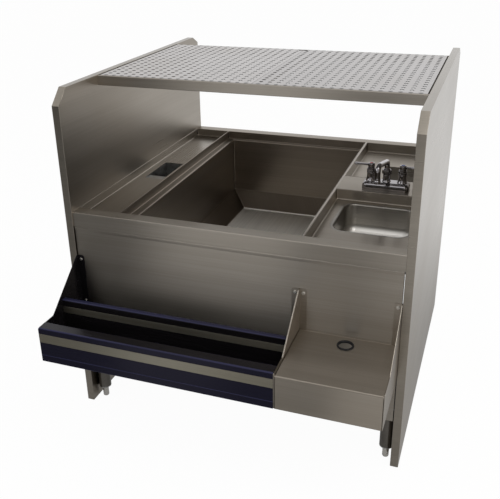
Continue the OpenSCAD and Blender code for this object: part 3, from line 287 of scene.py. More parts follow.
STEEL = brushed("brushed_steel", (0.285, 0.255, 0.218), (0.34, 0.305, 0.262), aniso=0.85)
STEEL_FRONT = brushed("brushed_steel_front", (0.305, 0.277, 0.24), (0.365, 0.333, 0.293),
                      rough=0.36, aniso=0.97)
STEEL_DEEP = brushed("brushed_steel_along", (0.265, 0.239, 0.205), (0.315, 0.284, 0.246),
                     along="deep", aniso=0.75)
# A darker copy of the steel for the panels' edge bands: painted shade.
STEEL_CAP = brushed("brushed_steel_edge", (0.235, 0.213, 0.182), (0.28, 0.253, 0.217),
                    along="deep", aniso=0.75)
# The bin's steel is a darker copy, painted shade in the deep bin; its floor band is lightened as
# painted light and its sloped walls are darkened as painted shade.
STEEL_BIN = brushed("brushed_steel_bin_painted_light_and_shade", (0.20, 0.171, 0.14), (0.243, 0.209, 0.173), rough=0.34,
                    along="deep", heights=((0.396, 0.4015, 0.002, (3.7, 4.2, 4.8), 0.25),
                                           (0.4035, 0.456, 0.002, (0.42, 0.40, 0.375), 0.08)))
# The bowl's floor and cove are lightened: a painted reflection of the light from above.
STEEL_BOWL = brushed("satin_steel_bowl_painted_highlight", (0.26, 0.245, 0.222), (0.32, 0.304, 0.281), rough=0.36,
                     aniso=0.3, heights=((0.566, 0.576, 0.026, (3.1, 3.2, 3.35), 0.12),))
# The shelf sheets are lighter copies of the steel, painted light on the top; the right sheet's lower
# tone is painted shade.
STEEL_LEFT_SHEET = shelf_steel("left", (1.0, 0.955, 0.94))
STEEL_RIGHT_SHEET = shelf_steel("right", (0.9, 0.86, 0.85))
# A darker copy of the steel for the leg tubes under the body: painted shade.
STEEL_DARK = brushed("brushed_steel_dark", (0.12, 0.112, 0.10), (0.17, 0.158, 0.142), rough=0.36)
STRIP = brushed("brushed_trim", (0.225, 0.21, 0.168), (0.27, 0.253, 0.206), rough=0.42)
GALVANISED = dull("galvanised_sheet", (0.30, 0.30, 0.29), (0.46, 0.46, 0.45), 0.46, 1.0, 70.0, 0.15)
BOARD = dull("core_board", (0.42, 0.30, 0.17), (0.58, 0.45, 0.29), 0.8, 0.0, 140.0, 0.4)
FOAM = dull("rigid_foam", (0.78, 0.70, 0.48), (0.88, 0.82, 0.62), 0.9, 0.0, 420.0, 0.6)
RUBBER = dull("black_rubber", (0.006, 0.006, 0.0065), (0.014, 0.014, 0.015), 0.6, 0.0, 300.0, 0.2,
              specular=0.2)
RED = dull("red_button", (0.55, 0.02, 0.015), (0.7, 0.04, 0.03), 0.25, 0.0, 500.0, 0.03, coat=0.6)
BLUE = dull("blue_button", (0.02, 0.06, 0.45), (0.04, 0.10, 0.6), 0.25, 0.0, 500.0, 0.03, coat=0.6)
# The last colour is that of the painted highlights on the rail's folds.
BLACK = gloss_paint("black_gloss_coating", (0.0062, 0.0055, 0.0062), (0.022, 0.023, 0.055))
CHROME = plated("chrome", (0.34, 0.325, 0.335), 0.045)
BRIGHT = plated("zinc_plated", (0.58, 0.56, 0.52), 0.24)

# ---- Mesh helpers ----


def piece(name, verts, faces, mat, slot, nodes=(), body="station", bevel=0.0, smooth=35.0):
    """Object from plan millimetres, with softened edges, riding on a body and standing for CAD
    nodes."""
    merge, fold_angle = 2e-6, 0.6
    mesh = bpy.data.meshes.new(name)
    mesh.from_pydata([place(*v) for v in verts], [], faces)
    bm = bmesh.new()
    bm.from_mesh(mesh)
    bmesh.ops.remove_doubles(bm, verts=bm.verts, dist=merge)
    bmesh.ops.dissolve_degenerate(bm, dist=merge, edges=bm.edges)
    bmesh.ops.recalc_face_normals(bm, faces=bm.faces)
    if bevel:
        edges = [e for e in bm.edges
                 if len(e.link_faces) == 2 and e.calc_face_angle(0.0) > fold_angle]
        bmesh.ops.bevel(bm, geom=edges, offset=bevel * MM, segments=2, profile=0.5,
                        affect="EDGES", clamp_overlap=True)
    bm.to_mesh(mesh)
    bm.free()
    mesh.shade_smooth()
    mesh.set_sharp_from_angle(angle=math.radians(smooth))
    mesh.materials.append(mat)
    obj = bpy.data.objects.new(name, mesh)
    bpy.context.scene.collection.objects.link(obj)
    weighted = obj.modifiers.new("weighted", "WEIGHTED_NORMAL")
    weighted.keep_sharp = True
    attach(obj, body)
    if nodes:
        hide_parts(*nodes)


class Shape:
    """Vertices and faces gathered from several parts."""

    def __init__(self, *parts):
        self.verts, self.faces = [], []
        for part in parts:
            self.add(*part)

    def add(self, verts, faces):
        base = len(self.verts)
        self.verts += [tuple(v) for v in verts]
        self.faces += [tuple(i + base for i in f) for f in faces]

    def make(self, name, mat, slot, nodes=(), **options):
        piece(name, self.verts, self.faces, mat, slot, nodes, **options)


def along(section, lo, hi, axis):
    """Closed section drawn from lo to hi: (y, z) along x, (x, z) along y, (x, y) along z."""
    order = {"x": lambda p, s: (s, p[0], p[1]), "y": lambda p, s: (p[0], s, p[1]),
             "z": lambda p, s: (p[0], p[1], s)}
    n = len(section)
    verts = [order[axis](p, s) for s in (lo, hi) for p in section]
    faces = [(i, (i + 1) % n, n + (i + 1) % n, n + i) for i in range(n)]
    return verts, faces + [tuple(range(n))[::-1], tuple(range(n, 2 * n))]


def block(x0, x1, y0, y1, z0, z1):
    return along([(x0, y0), (x1, y0), (x1, y1), (x0, y1)], z0, z1, "z")


def folded(path, side, radius, steps=6):
    """The two faces of a sheet of which one follows the path, with round folds. side says where
    the thickness lies: 1 left of the path, -1 right. radius is the outer one, one number or one
    for each fold."""
    pts = [Vector(p) for p in path]
    dirs = [(b - a).normalized() for a, b in zip(pts, pts[1:])]
    radii = radius if isinstance(radius, (list, tuple)) else [radius] * (len(pts) - 2)

    def out(d):
        return Vector((-d.y, d.x)) * side

    near, far = [pts[0]], [pts[0] + out(dirs[0]) * T]
    for p, d0, d1, r in zip(pts[1:-1], dirs, dirs[1:], radii):
        turn = d0.x * d1.y - d0.y * d1.x
        angle = math.atan2(turn, d0.dot(d1))
        outer = turn * side > 0
        rho = r if outer else r - T
        start = p - d0 * rho * math.tan(abs(angle) / 2)
        arm = Vector((d0.y, -d0.x)) * math.copysign(rho, turn)
        centre = start - arm
        for k in range(steps + 1):
            c, s = math.cos(angle * k / steps), math.sin(angle * k / steps)
            e = Vector((arm.x * c - arm.y * s, arm.x * s + arm.y * c))
            near.append(centre + e)
            far.append(centre + e + e.normalized() * (-T if outer else T))
    near.append(pts[-1])
    far.append(pts[-1] + out(dirs[-1]) * T)
    return near, far


def sheet(path, side, radius, lo, hi, axis="x"):
    near, far = folded(path, side, radius)
    return along(near + far[::-1], lo, hi, axis)


def circle(x, y, r, z, sides, first=0.0):
    """Points about (x, y) at height z. first moves the first point on by a share of a side."""
    angles = [2 * PI * (k + first) / sides for k in range(sides)]
    return [(x + r * math.cos(a), y + r * math.sin(a), z) for a in angles]


def ring(x0, x1, y0, y1, r, z, n=5):
    """Rounded rectangle of 4 (n + 1) points at height z."""
    out = []
    for cx, cy, a0 in ((x1 - r, y1 - r, 0), (x0 + r, y1 - r, 90), (x0 + r, y0 + r, 180),
                       (x1 - r, y0 + r, 270)):
        for k in range(n + 1):
            a = math.radians(a0 + 90 * k / n)
            out.append((cx + r * math.cos(a), cy + r * math.sin(a), z))
    return out


def disc(x, y, r, z, n=5):
    """Circle with as many points as a ring."""
    return circle(x, y, r, z, 4 * (n + 1), 0.5)


def skin(rings, closed=False, caps=(False, False)):
    """Quads between successive rings, which may close on themselves or have caps."""
    n = len(rings[0])
    verts = [v for r in rings for v in r]
    pairs = list(zip(range(len(rings) - 1), range(1, len(rings))))
    if closed:
        pairs.append((len(rings) - 1, 0))
    faces = [(a * n + k, a * n + (k + 1) % n, b * n + (k + 1) % n, b * n + k)
             for a, b in pairs for k in range(n)]
    if caps[0]:
        faces.append(tuple(range(n))[::-1])
    if caps[1]:
        faces.append(tuple((len(rings) - 1) * n + k for k in range(n)))
    return verts, faces


def pan(x0, x1, y0, y1, steps, hole, corner=4.0, right=0.0, rear=0.0):
    """Deck pan: rounded lip, wall, coved floor and one hole. steps are (inset, height) of further
    folds beyond the first wall, with their outer radii, and hole is the list of rings from the
    floor's top to its underside. right and rear say how much narrower the ledge is there."""
    lip_z, lip_r, lip_in, ledge0, ledge = DECK - 1.8, 0.5, 1.2, 8.0, 12.0
    lip = [(0.0, DECK), (0.55, DECK - 0.12), (1.05, DECK - 0.45), (1.4, DECK - 1.0), (T, lip_z)]
    path = [(T, lip_z)] + [s[:2] for s in steps]
    near, far = folded(path, -1, [s[2] for s in steps[:-1]])
    face = lip + [tuple(p) for p in near[1:]]
    back = [(0.0, lip_z)] + [tuple(p) for p in far[1:]]

    def rings(points):
        out = []
        for d, z in points:
            k = min(max((d - ledge0) / ledge, 0.0), 1.0)
            out.append(ring(x0 + d, x1 - d + k * right, y0 + d, y1 - d + k * rear,
                            lip_r if d < lip_in else corner, z))
        return out

    return skin(rings(face) + hole + rings(back)[::-1], closed=True)


def loop(profile, x, y, sides=48):
    """Closed profile of (radius, height) turned about (x, y)."""
    return skin([circle(x, y, r, h, sides) for r, h in profile], closed=True)


def lathe(profile, x, y, sides=40, axis="z"):
    """Open profile of (radius, height) turned about an axis at (x, y), or about y at (x, z)."""
    rings = [circle(x, y, r, h, sides) for r, h in profile]
    if axis == "y":
        rings = [[(a, h, b) for a, b, h in points] for points in rings]
    return skin(rings, caps=(True, True))


def thread(start, pitch, turns, profile):
    """Points of (radius, height), repeated at a pitch."""
    return [(r, start + pitch * k + dz) for k in range(turns) for r, dz in profile]


def hexagon(x, y, r, turn=0.0):
    angles = [PI * k / 3 + turn for k in range(6)]
    return [(x + r * math.cos(a), y + r * math.sin(a)) for a in angles]


def hex_nut(x, y, levels):
    """Six-sided body from (radius, height) levels."""
    return skin([[(px, py, z) for px, py in hexagon(x, y, r)] for r, z in levels],
                caps=(True, True))


def arc(cx, cy, r, a0, a1, n):
    angles = [math.radians(a0 + (a1 - a0) * k / n) for k in range(n + 1)]
    return [(cx + r * math.cos(a), cy + r * math.sin(a)) for a in angles]


# ---- Side panels ----

PANEL_LOW, PANEL_TOP, PANEL_REAR = 5, 1086, 1032
CHAMFER = 47.0                       # front top corner
SLANT_Y, SLANT_Z = 45.0, 24.0        # rear top corner
SEAM_Y = (234.8, 235.2)              # open seam between the band's two lengths
SEAM_EDGES = (1, 6)                  # edges of the outline that the seam takes out


def outline(d):
    """Panel's edge in (y, z), moved in by d."""
    chamfer = CHAMFER + d * (math.sqrt(2) - 1)
    slant = math.hypot(SLANT_Y, SLANT_Z)
    seam0, seam1 = SEAM_Y
    low, top, rear = PANEL_LOW + d, PANEL_TOP - d, PANEL_REAR - d
    return [(d, low), (seam0, low), (seam1, low), (rear, low),
            (rear, PANEL_TOP - SLANT_Z - d * (slant - SLANT_Z) / SLANT_Y),
            (PANEL_REAR - SLANT_Y - d * (slant - SLANT_Y) / SLANT_Z, top),
            (seam1, top), (seam0, top), (chamfer, top), (d, PANEL_TOP - chamfer)]


def panel_caps(name, x0, node):
    """Folded edge band round a panel, in two lengths with an open seam between them."""
    section = [(0.0, 1.2), (0.0, 0.9), (0.12, 0.5), (0.4, 0.15), (0.9, 0.0), (23.1, 0.0),
               (23.6, 0.15), (23.88, 0.5), (24.0, 0.9), (24.0, 1.2)]
    loops = [[(x0 + x, y, z) for y, z in outline(d)] for x, d in section]
    m, n = len(section), len(loops[0])
    verts = [v for points in loops for v in points]
    faces = [(a * n + k, a * n + (k + 1) % n, b * n + (k + 1) % n, b * n + k)
             for a, b in ((i, (i + 1) % m) for i in range(m))
             for k in range(n) if k not in SEAM_EDGES]
    ends = [tuple(a * n + k for a in range(m)) for edge in SEAM_EDGES for k in (edge, edge + 1)]
    piece(name, verts, faces + ends, STEEL_CAP, "steel", [node])


panel_caps("left_panel_edge_bands", 0.0, "left_panel_caps")
panel_caps("right_panel_edge_bands", IN1, "right_panel_caps")

# ---- Deck ----

Shape(sheet([(FLANGE_Y, 660), (FLANGE_Y, DECK), (PAN_Y0, DECK)], -1, 3.4, IN0, IN1)).make(
    "front_rim_fold", STEEL_FRONT, "steel", ["front_rim"])
Shape(along([(PANEL_Y, 646.0), (3.7, 652.0), (FLANGE_Y, 655.6)] + arc(6.2, 655.6, 2.6, 180, 115, 4)
            + [(PANEL_Y, 658.0)], 26.0, 1041.0, "x")).make(
    "front_panel_top_fold", STEEL_FRONT, "steel", smooth=50.0)
Shape(sheet([(1031, 660), (1031, DECK), (PAN_Y1, DECK)], 1, 3.4, IN0, IN1)).make(
    "rear_rim_fold", STEEL, "steel", ["rear_rim"])
Shape(sheet([(BIN_X1, 677), (BIN_X1, DECK), (SINK_X0, DECK), (SINK_X0, 677)], -1, 2.2,
            PAN_Y0, PAN_Y1, "y")).make("divider_fold", STEEL_DEEP, "steel", ["divider_cap"])

TROUGH = [(T, 678, 5.5), (12.0, 678, 0)]
CHASE_HOLE = [ring(54, 125, 433.2, 612.2, 1.5, z) for z in (678.0, 676.5)]
Shape(pan(IN0, BIN_X0, PAN_Y0, PAN_Y1, TROUGH, CHASE_HOLE)).make(
    "trough_pan_folded", STEEL_DEEP, "steel", ["trough_pan"])

HOPPER = [(T, 676, 5.0), (27.5, 676, 4.5), (27.5, 457, 9.0), (96.5, 400, 9.0), (118.0, 400, 0)]
BIN_SEAT = [disc(*BIN_DRAIN[:2], r, z)
            for r, z in ((36.5, 400.0), (36.5, 399.7), (24.0, 398.6), (24.0, 397.4))]
Shape(pan(BIN_X0, BIN_X1, PAN_Y0, PAN_Y1, HOPPER, BIN_SEAT, right=10.0, rear=12.0)).make(
    "ice_bin_liner_folded", STEEL_BIN, "steel", ["ice_bin_liner"])

BOWL_HOLE = [ring(782.2, 1029.8, 185.2, 428.8, 48.8, z) for z in (671.0, 669.5)]
Shape(pan(SINK_X0, IN1, PAN_Y0, 445, [(T, 671, 6.0), (9.0, 671, 0)], BOWL_HOLE)).make(
    "sink_pan_folded", STEEL, "steel", ["sink_pan"])


def bowl():
    """Drawn bowl: flange, rolled edge, upright walls, deep cove and a floor falling to the
    drain."""
    near, far = folded([(-12, 671), (0, 671), (0, 573), (52, 572.2)], -1, [6.0, 33.5], steps=10)
    n = 9

    def rings(points):
        return [ring(794 + d, 1018 - d, 197 + d, 417 - d, max(6.0, 37.0 - d), z, n)
                for d, z in points]

    seat = [disc(*SINK_DRAIN[:2], r, z, n)
            for r, z in ((36.0, 571.9), (25.0, 571.2), (25.0, 569.7), (36.0, 570.4))]
    return skin(rings(near) + seat + rings(far)[::-1], closed=True)


Shape(bowl()).make("sink_bowl_drawn", STEEL_BOWL, "steel", ["sink_bowl"])

Shape(sheet([(445, 671), (445, DECK), (579, DECK), (579, 670)], -1, 3.0, SINK_X0, IN1)).make(
    "faucet_deck_fold", STEEL, "steel", ["faucet_deck"])

TRAY_PORT = [ring(864.6, 1010.4, 639.6, 828.4, 2.0, 670.0)] + [
    ring(865.0 - d, 1010.0 + d, 640.0 - d, 828.0 + d, 2.0, z)
    for d, z in ((0.0, 669.4), (0.0, 638.5), (1.5, 638.5), (1.5, 668.5))]
Shape(pan(SINK_X0, IN1, 579, PAN_Y1, [(T, 670, 6.0), (13.0, 670, 0)], TRAY_PORT)).make(
    "rear_tray_folded", STEEL, "steel", ["rear_tray"])

# ---- Drains ----


def drain(name, x, y, z, node):
    """Cup drain: crowned flange, stepped seat, threaded upper part and plain tail."""
    wall = [(20.0, z + 0.9), (22.0, z + 1.9), (24.5, z + 2.5), (30.0, z + 2.2), (34.0, z + 1.1),
            (35.0, z + 0.3), (34.6, z + 0.0), (23.5, z - 0.4)]
    threads = thread(z - 1.6, -3.0, 14, ((23.5, 0.0), (22.7, -1.0), (22.7, -1.4), (23.5, -2.4)))
    tail = [(22.0, z - 45.4), (22.0, z - 94.2), (21.6, z - 95.0), (20.4, z - 95.0),
            (20.0, z - 94.4), (20.0, z - 11.6), (15.3, z - 11.5), (15.0, z - 11.2),
            (15.0, z - 10.3), (15.3, z - 10.0), (19.8, z - 9.8)]
    Shape(loop(wall + threads + tail, x, y)).make(name, BRIGHT, "bright", [node], smooth=50.0)


drain("bin_drain_cup", *BIN_DRAIN, "bin_drain")
drain("sink_drain_cup", *SINK_DRAIN, "sink_drain")

# ---- Bottle rail ----

# Trough with a lipped front wall, the upper tier's back, and the thicker foot of the front face.
Shape(
    sheet([(-204, 421), (-204, RAIL_Z1), (RAIL_Y0, RAIL_Z1), (RAIL_Y0, RAIL_Z0),
           (FLANGE_Y, RAIL_Z0), (FLANGE_Y, 370)], 1, [3.0, 5.0, 4.0, 4.0], RAIL_X0, RAIL_X1),
    sheet([(-107, 322.4), (-107, 459), (-90, 459), (-90, 445)], -1, [4.5, 3.0], RAIL_X0, RAIL_X1),
    along([(RAIL_Y0, 321.2), (RAIL_Y0, 343.9), (-241.5, 343.9), (-241.9, 343.2), (-242.0, 342.4),
           (-242.0, 322.6), (-241.8, 321.8), (-241.4, 321.3)], RAIL_X0, RAIL_X1, "x"),
).make("bottle_rail_trough", BLACK, "black", ["rail_trough"])


def bracket(name, x0, side, mat, slot, node):
    """Plate with rounded nose corners, a slanted edge and a bolting flange on one side."""
    low, top, reach, cut = RAIL_Z0, 562.0, 21.0, 4.0
    x1 = x0 + T
    nose = (arc(-237.0, 325.0, 4.0, 270, 180, 4) + arc(-237.0, 429.0, 4.0, 180, 90, 4)
            + arc(-164.0, 441.0, 8.0, 270, 308, 4))
    plate = [(PANEL_Y, low)] + nose + arc(-3.5, 558.2, 3.8, 128, 90, 3) + [(PANEL_Y, top)]
    root, tip = (x0, x1 + reach) if side > 0 else (x1, x0 - reach)
    flange = [(root, low), (tip - side * cut, low), (tip, low + cut), (tip, top - cut),
              (tip - side * cut, top), (root, top)]
    Shape(along(plate, x0, x1, "x"), along(flange, FLANGE_Y, PANEL_Y, "y")).make(
        name, mat, slot, [node], bevel=0.35)


bracket("rail_left_end", RAIL_X0 - T, 1, BLACK, "black", "rail_left_bracket")
bracket("rail_right_end", RAIL_X1, -1, STEEL_DEEP, "steel", "rail_right_bracket")
bracket("box_left_end", BOX_X0 - T, 1, STEEL_DEEP, "steel", "box_left_gusset")
bracket("box_right_end", BOX_X1, -1, STEEL_DEEP, "steel", "box_right_gusset")

for name, y, z0, z1, node in (("front_trim_strip", RAIL_Y0, 387.0, 416.0, "rail_front_strip"),
                              ("rear_trim_strip", -107.0, 414.0, 437.0, "rail_rear_strip")):
    Shape(block(RAIL_X0, RAIL_X1, y - 1.0, y, z0, z1)).make(name, STRIP, "steel", [node],
                                                            bevel=0.4)

# ---- Step-down box ----

BOX_LOW = 320.0
TOP_Y = -215                         # where the folded front meets the top plate
box_end = (arc(-237.5, 323.5, 3.5, 270, 180, 5) + arc(-237.5, 423.5, 3.5, 180, 90, 5)
           + [(FLANGE_Y, BOX_TOP), (FLANGE_Y, BOX_LOW)])
box_top = [ring(BOX_X0, BOX_X1, TOP_Y, FLANGE_Y, 0.1, BOX_TOP),
           disc(GROMMET_X, GROMMET_Y, 21.4, BOX_TOP), disc(GROMMET_X, GROMMET_Y, 21.4, BOX_TOP - T),
           ring(BOX_X0, BOX_X1, TOP_Y, FLANGE_Y, 0.1, BOX_TOP - T)]
upturn = [(2.4, 425.6), (2.4, 427.0), (3.1, 427.2), (3.5, 427.8), (3.6, 431.5), (3.9, 432.0),
          (4.8, 432.0), (5.1, 431.5), (5.1, 425.6)]
Shape(
    sheet([(-221, BOX_LOW), (RAIL_Y0, BOX_LOW), (RAIL_Y0, BOX_TOP), (TOP_Y, BOX_TOP)], -1,
          [3.5, 3.5], BOX_X0, BOX_X1),
    along(box_end, BOX_X0, BOX_X0 + T, "x"),
    along(box_end, BOX_X1 - T, BOX_X1, "x"),
    skin(box_top, closed=True),
    along(upturn, 774.1, 1020.1, "x"),
).make("step_down_box_folded", STEEL, "steel", ["box_shell"])

GROMMET = (arc(21.9, 428.4, 2.7, 170, -50, 9) + [(21.0, BOX_TOP), (21.0, BOX_TOP - T)]
           + arc(21.6, 424.6, 2.1, 60, -170, 9) + [(19.0, 424.0), (19.0, 428.5)])
Shape(loop(GROMMET, GROMMET_X, GROMMET_Y)).make(
    "hose_grommet_ring", RUBBER, "rubber", ["hose_grommet"])

# ---- Bracket bolts ----

BOLT_X = (36.4, 739.1, 763.6, 1030.6)
BOLT_Z = (548.0, 400.0)
bolts = Shape()
for x in BOLT_X:
    for z in BOLT_Z:
        bolts.add(*lathe([(5.4, 3.5), (5.5, 3.1), (5.5, 2.7), (4.9, 2.5)], x, z, 28, "y"))
        bolts.add(*along(hexagon(x, z, 4.9, 0.2), 2.55, 0.3, "y"))
        bolts.add(*lathe([(4.1, 0.3), (3.9, 0.12), (2.6, 0.1)], x, z, 28, "y"))
        bolts.add(*lathe([(2.95, 3.0), (2.95, 13.2), (2.5, 14.1)], x, z, 20, "y"))
bolts.make("bracket_bolt_heads", BRIGHT, "bright", ["bracket_bolts"], bevel=0.12)

# ---- Shelf ----

SHELF_Z0, SHELF_Z1 = 1053.5, 1084.5
SHELF_LEDGE = (1067.0, 1068.5)
Shape(sheet([(237, SHELF_Z0), (227, SHELF_Z0), (227, SHELF_Z1), (237, SHELF_Z1), (237, 1067)], -1,
            2.6, IN0, IN1), block(IN0, IN1, 235.5, 251.5, *SHELF_LEDGE)).make(
    "shelf_front_channel", STEEL_FRONT, "steel", ["shelf_front_rail"])
Shape(sheet([(819, SHELF_Z0), (829, SHELF_Z0), (829, SHELF_Z1)], 1, 2.6, IN0, IN1),
      block(IN0, IN1, 811.5, 829, *SHELF_LEDGE)).make(
    "shelf_rear_channel", STEEL, "steel", ["shelf_rear_rail"])

# ---- Feet ----


def foot(name, x, y, node, body):
    """Bullet foot: turned sole, hexagon for a spanner and threaded stem."""
    sole = [(0.4, 0.0), (5.0, 0.0)] + [(5 + 5 * math.sin(a), 5 - 5 * math.cos(a))
                                       for a in (math.radians(15 * k) for k in range(1, 7))]
    barrel = [(10.0, 14.0), (9.3, 15.0), (9.3, 16.5), (10.0, 17.5), (10.0, 33.0)]
    turns = thread(42.4, 2.0, 14, ((8.0, 0.0), (7.2, 0.8), (7.2, 1.1), (8.0, 1.9)))
    stem = [(8.0, 42.0)] + turns + [(7.4, 71.4), (6.8, 72.0), (0.4, 72.0)]
    nut = hex_nut(x, y, ((10.9, 33.0), (12.0, 33.9), (12.0, 41.1), (10.9, 42.0)))
    Shape(lathe(sole + barrel + stem, x, y, 36), nut).make(name, BRIGHT, "bright", [node],
                                                           body=body)


for end, y in (("front", 47.0), ("rear", 987.6)):
    for side, x in (("left", 45.15), ("right", 1021.85)):
        corner = end + "_" + side
        foot(corner + "_bullet_foot", x, y, "foot_" + corner, corner + "_foot")

# ---- Faucet ----

Shape(
    skin([ring(TAP_X - 76 + d, TAP_X + 76 - d, TAP_Y - 28 + d, TAP_Y + 28 - d,
               max(14 - d * 0.5, 6), z, 8)
          for d, z in ((0.6, 707.0), (0.0, 708.0), (0.0, 718.5), (0.9, 722.5), (2.8, 725.8),
                       (5.6, 728.4), (9.0, 730.1), (13.0, 731.0))], caps=(False, True)),
    lathe([(15.2, 730.4), (14.0, 732.6), (12.4, 735.0), (12.0, 739.0), (12.0, 752.0),
           (12.8, 754.4), (13.2, 756.2)], TAP_X, TAP_Y),
    hex_nut(TAP_X, TAP_Y, ((13.6, 756.0), (15.5, 757.3), (15.5, 770.6), (13.6, 772.0))),
).make("faucet_base_cast", CHROME, "chrome", ["faucet_base"], smooth=40.0)

valves = Shape()
for x in VALVES:
    valves.add(*lathe([(17.0, 730.4), (16.8, 732.4), (15.4, 734.6), (13.8, 738.5), (13.1, 745.0),
                       (13.2, 754.5), (14.0, 758.2), (14.3, 760.0), (13.9, 761.2)], x, TAP_Y))
    valves.add(*hex_nut(x, TAP_Y, ((12.4, 761.0), (14.0, 762.0), (14.0, 769.4), (12.4, 770.4))))
    valves.add(*lathe([(11.4, 770.2), (12.0, 771.0), (12.0, 773.8), (10.6, 775.2), (9.0, 775.7)],
                      x, TAP_Y))
    valves.add(*lathe([(4.95, 775.0), (4.95, 787.4), (4.4, 788.0)], x, TAP_Y, 24))
    turns = thread(671.6, 2.4, 14, ((10.0, 0.0), (9.3, 0.9), (9.3, 1.3), (10.0, 2.2)))
    shank = [(9.0, 645.5), (9.5, 646.2), (9.5, 670.5), (10.0, 671.0)] + turns + [(10.0, 731.0)]
    valves.add(*lathe(shank, x, TAP_Y, 32))
valves.make("faucet_valves", CHROME, "chrome", ["valve_bodies"], smooth=40.0)


def lever(name, x, side, node, body):
    """Domed hub with a waisted flat blade."""
    hub = [(10.4, 776.0), (11.0, 776.7), (11.0, 786.2), (10.5, 788.0), (9.2, 789.4), (7.0, 790.0)]
    # Distance from the stem, half width, half thickness and rise of the blade.
    rows = ((3.0, 4.4, 3.9, 0.0), (9.5, 4.5, 3.9, 0.0), (15, 4.1, 3.6, 0.1), (23, 4.4, 3.4, 0.2),
            (32, 5.2, 3.4, 0.4), (41, 6.1, 3.5, 0.5), (48, 6.5, 3.7, 0.5), (52, 6.4, 3.7, 0.5),
            (54.8, 5.2, 3.0, 0.5), (55.9, 3.0, 1.6, 0.5))
    axis_z, sides, squareness = 783.0, 20, 0.7

    def swell(value):
        return math.copysign(abs(value) ** squareness, value)

    angles = [2 * PI * k / sides for k in range(sides)]
    blade = [[(x + side * s, TAP_Y + half * swell(math.cos(a)),
               axis_z + lift + thick * swell(math.sin(a))) for a in angles]
             for s, half, thick, lift in rows]
    Shape(lathe(hub, x, TAP_Y), skin(blade, caps=(True, True))).make(
        name, CHROME, "chrome", [node], body=body, smooth=45.0)


lever("left_lever_handle", VALVES[0], -1, "lever_left", "hot_lever")
lever("right_lever_handle", VALVES[1], 1, "lever_right", "cold_lever")
DOME = [(6.0, 790.0), (5.9, 790.6), (5.2, 791.1), (3.6, 791.45), (1.5, 791.6)]
Shape(lathe(DOME, VALVES[0], TAP_Y, 28)).make(
    "left_index_button", RED, "red", ["button_left"], body="hot_lever")
Shape(lathe(DOME, VALVES[1], TAP_Y, 28)).make(
    "right_index_button", BLUE, "blue", ["button_right"], body="cold_lever")


def spout():
    """Swivel stem, bent tube and an end bead, swept in the plane of the spout's reach. Returns
    the skin and the outlet's place."""
    lean, reach, bend, tube_r, bead_r = math.radians(79.0), 130.0, 16.0, 8.5, 9.5
    foot_z, end_z, sides, heading = 785.0, 778.05, 32, math.radians(-94.0)
    rise = math.radians(11.0)
    arm = (reach - 2 * bend) / math.cos(rise)
    end = (bend * (1 - math.cos(lean)) + arm * math.cos(rise),
           foot_z + bend * math.sin(lean) + arm * math.sin(rise))
    centre = (end[0] + bend * math.cos(lean), end[1] - bend * math.sin(lean))
    # Distance out, height, lean and radius of each ring.
    line = [(0.0, 742.2, 0.0, 9.45), (0.0, 772.1, 0.0, 9.45), (0.0, 772.2, 0.0, 10.6),
            (0.0, 774.2, 0.0, 10.6), (0.0, 775.2, 0.0, 9.4), (0.0, 776.4, 0.0, tube_r)]
    for a in (lean * k / 12 for k in range(13)):
        line.append((bend * (1 - math.cos(a)), foot_z + bend * math.sin(a), a, tube_r))
    for a in (lean + (PI - lean) * k / 14 for k in range(15)):
        line.append((centre[0] - bend * math.cos(a), centre[1] + bend * math.sin(a), a, tube_r))
    line += [(reach, end_z + 6.0, PI, tube_r), (reach, end_z + 4.6, PI, bead_r),
             (reach, end_z + 1.4, PI, bead_r), (reach, end_z, PI, 8.6)]
    ct, st = math.cos(heading), math.sin(heading)
    rings = []
    for s, z, a, r in line:
        pts = []
        for b in (2 * PI * k / sides for k in range(sides)):
            px, py = s + r * math.cos(b) * math.cos(a), r * math.sin(b)
            pts.append((TAP_X + px * ct - py * st, TAP_Y + px * st + py * ct,
                        z - r * math.cos(b) * math.sin(a)))
        rings.append(pts)
    return skin(rings, caps=(True, True)), (TAP_X + reach * ct, TAP_Y + reach * st)


tube, outlet = spout()
Shape(tube).make("faucet_spout_tube", CHROME, "chrome", ["spout"], body="swing_spout", smooth=45.0)
grooves = thread(768.4, 1.2, 5, ((10.5, 0.0), (10.1, 0.4), (10.1, 0.6), (10.5, 1.0)))
nozzle = [(1.0, 768.8), (7.2, 768.6), (7.5, 766.4), (8.0, 766.0), (9.6, 766.0), (10.3, 766.7),
          (10.5, 767.6)] + grooves + [(10.2, 775.6), (9.4, 777.0), (8.7, 778.0)]
Shape(lathe(nozzle, *outlet)).make(
    "spout_aerator", CHROME, "chrome", ["aerator"], body="swing_spout", smooth=40.0)

# ---- Materials of the CAD nodes that stay ----

FINISH = {
    STEEL_DEEP: ("left_panel_skins", "right_panel_skins"),
    STEEL_FRONT: ("front_panel",),
    STEEL: ("back_panel", "shelf_side_ledges", "shelf_centre_bar"),
    STEEL_DARK: ("leg_tubes",),
    STEEL_LEFT_SHEET: ("shelf_sheet_left",),
    STEEL_RIGHT_SHEET: ("shelf_sheet_right",),
    GALVANISED: ("hose_chase", "bin_shell", "base_channels", "leg_inserts"),
    BOARD: ("left_panel_core", "right_panel_core"),
    FOAM: ("bin_insulation",),
    BRIGHT: ("drain_nuts", "bin_strainer", "sink_strainer", "bracket_nuts", "shank_nuts"),
}
for mat, names in FINISH.items():
    for name in names:
        slots = NODES[name].data.materials
        for i in range(len(slots)):
            slots[i] = mat
        if not slots:
            slots.append(mat)

# ---- Studio ----


def seen_by(tree, *kinds):
    """1 for the named kinds of ray, 0 for the rest."""
    path = tree.nodes.new("ShaderNodeLightPath")
    seen = path.outputs[kinds[0]]
    for key in kinds[1:]:
        top = tree.nodes.new("ShaderNodeMath")
        top.operation = "MAXIMUM"
        tree.links.new(seen, top.inputs[0])
        tree.links.new(path.outputs[key], top.inputs[1])
        seen = top.outputs[0]
    return seen


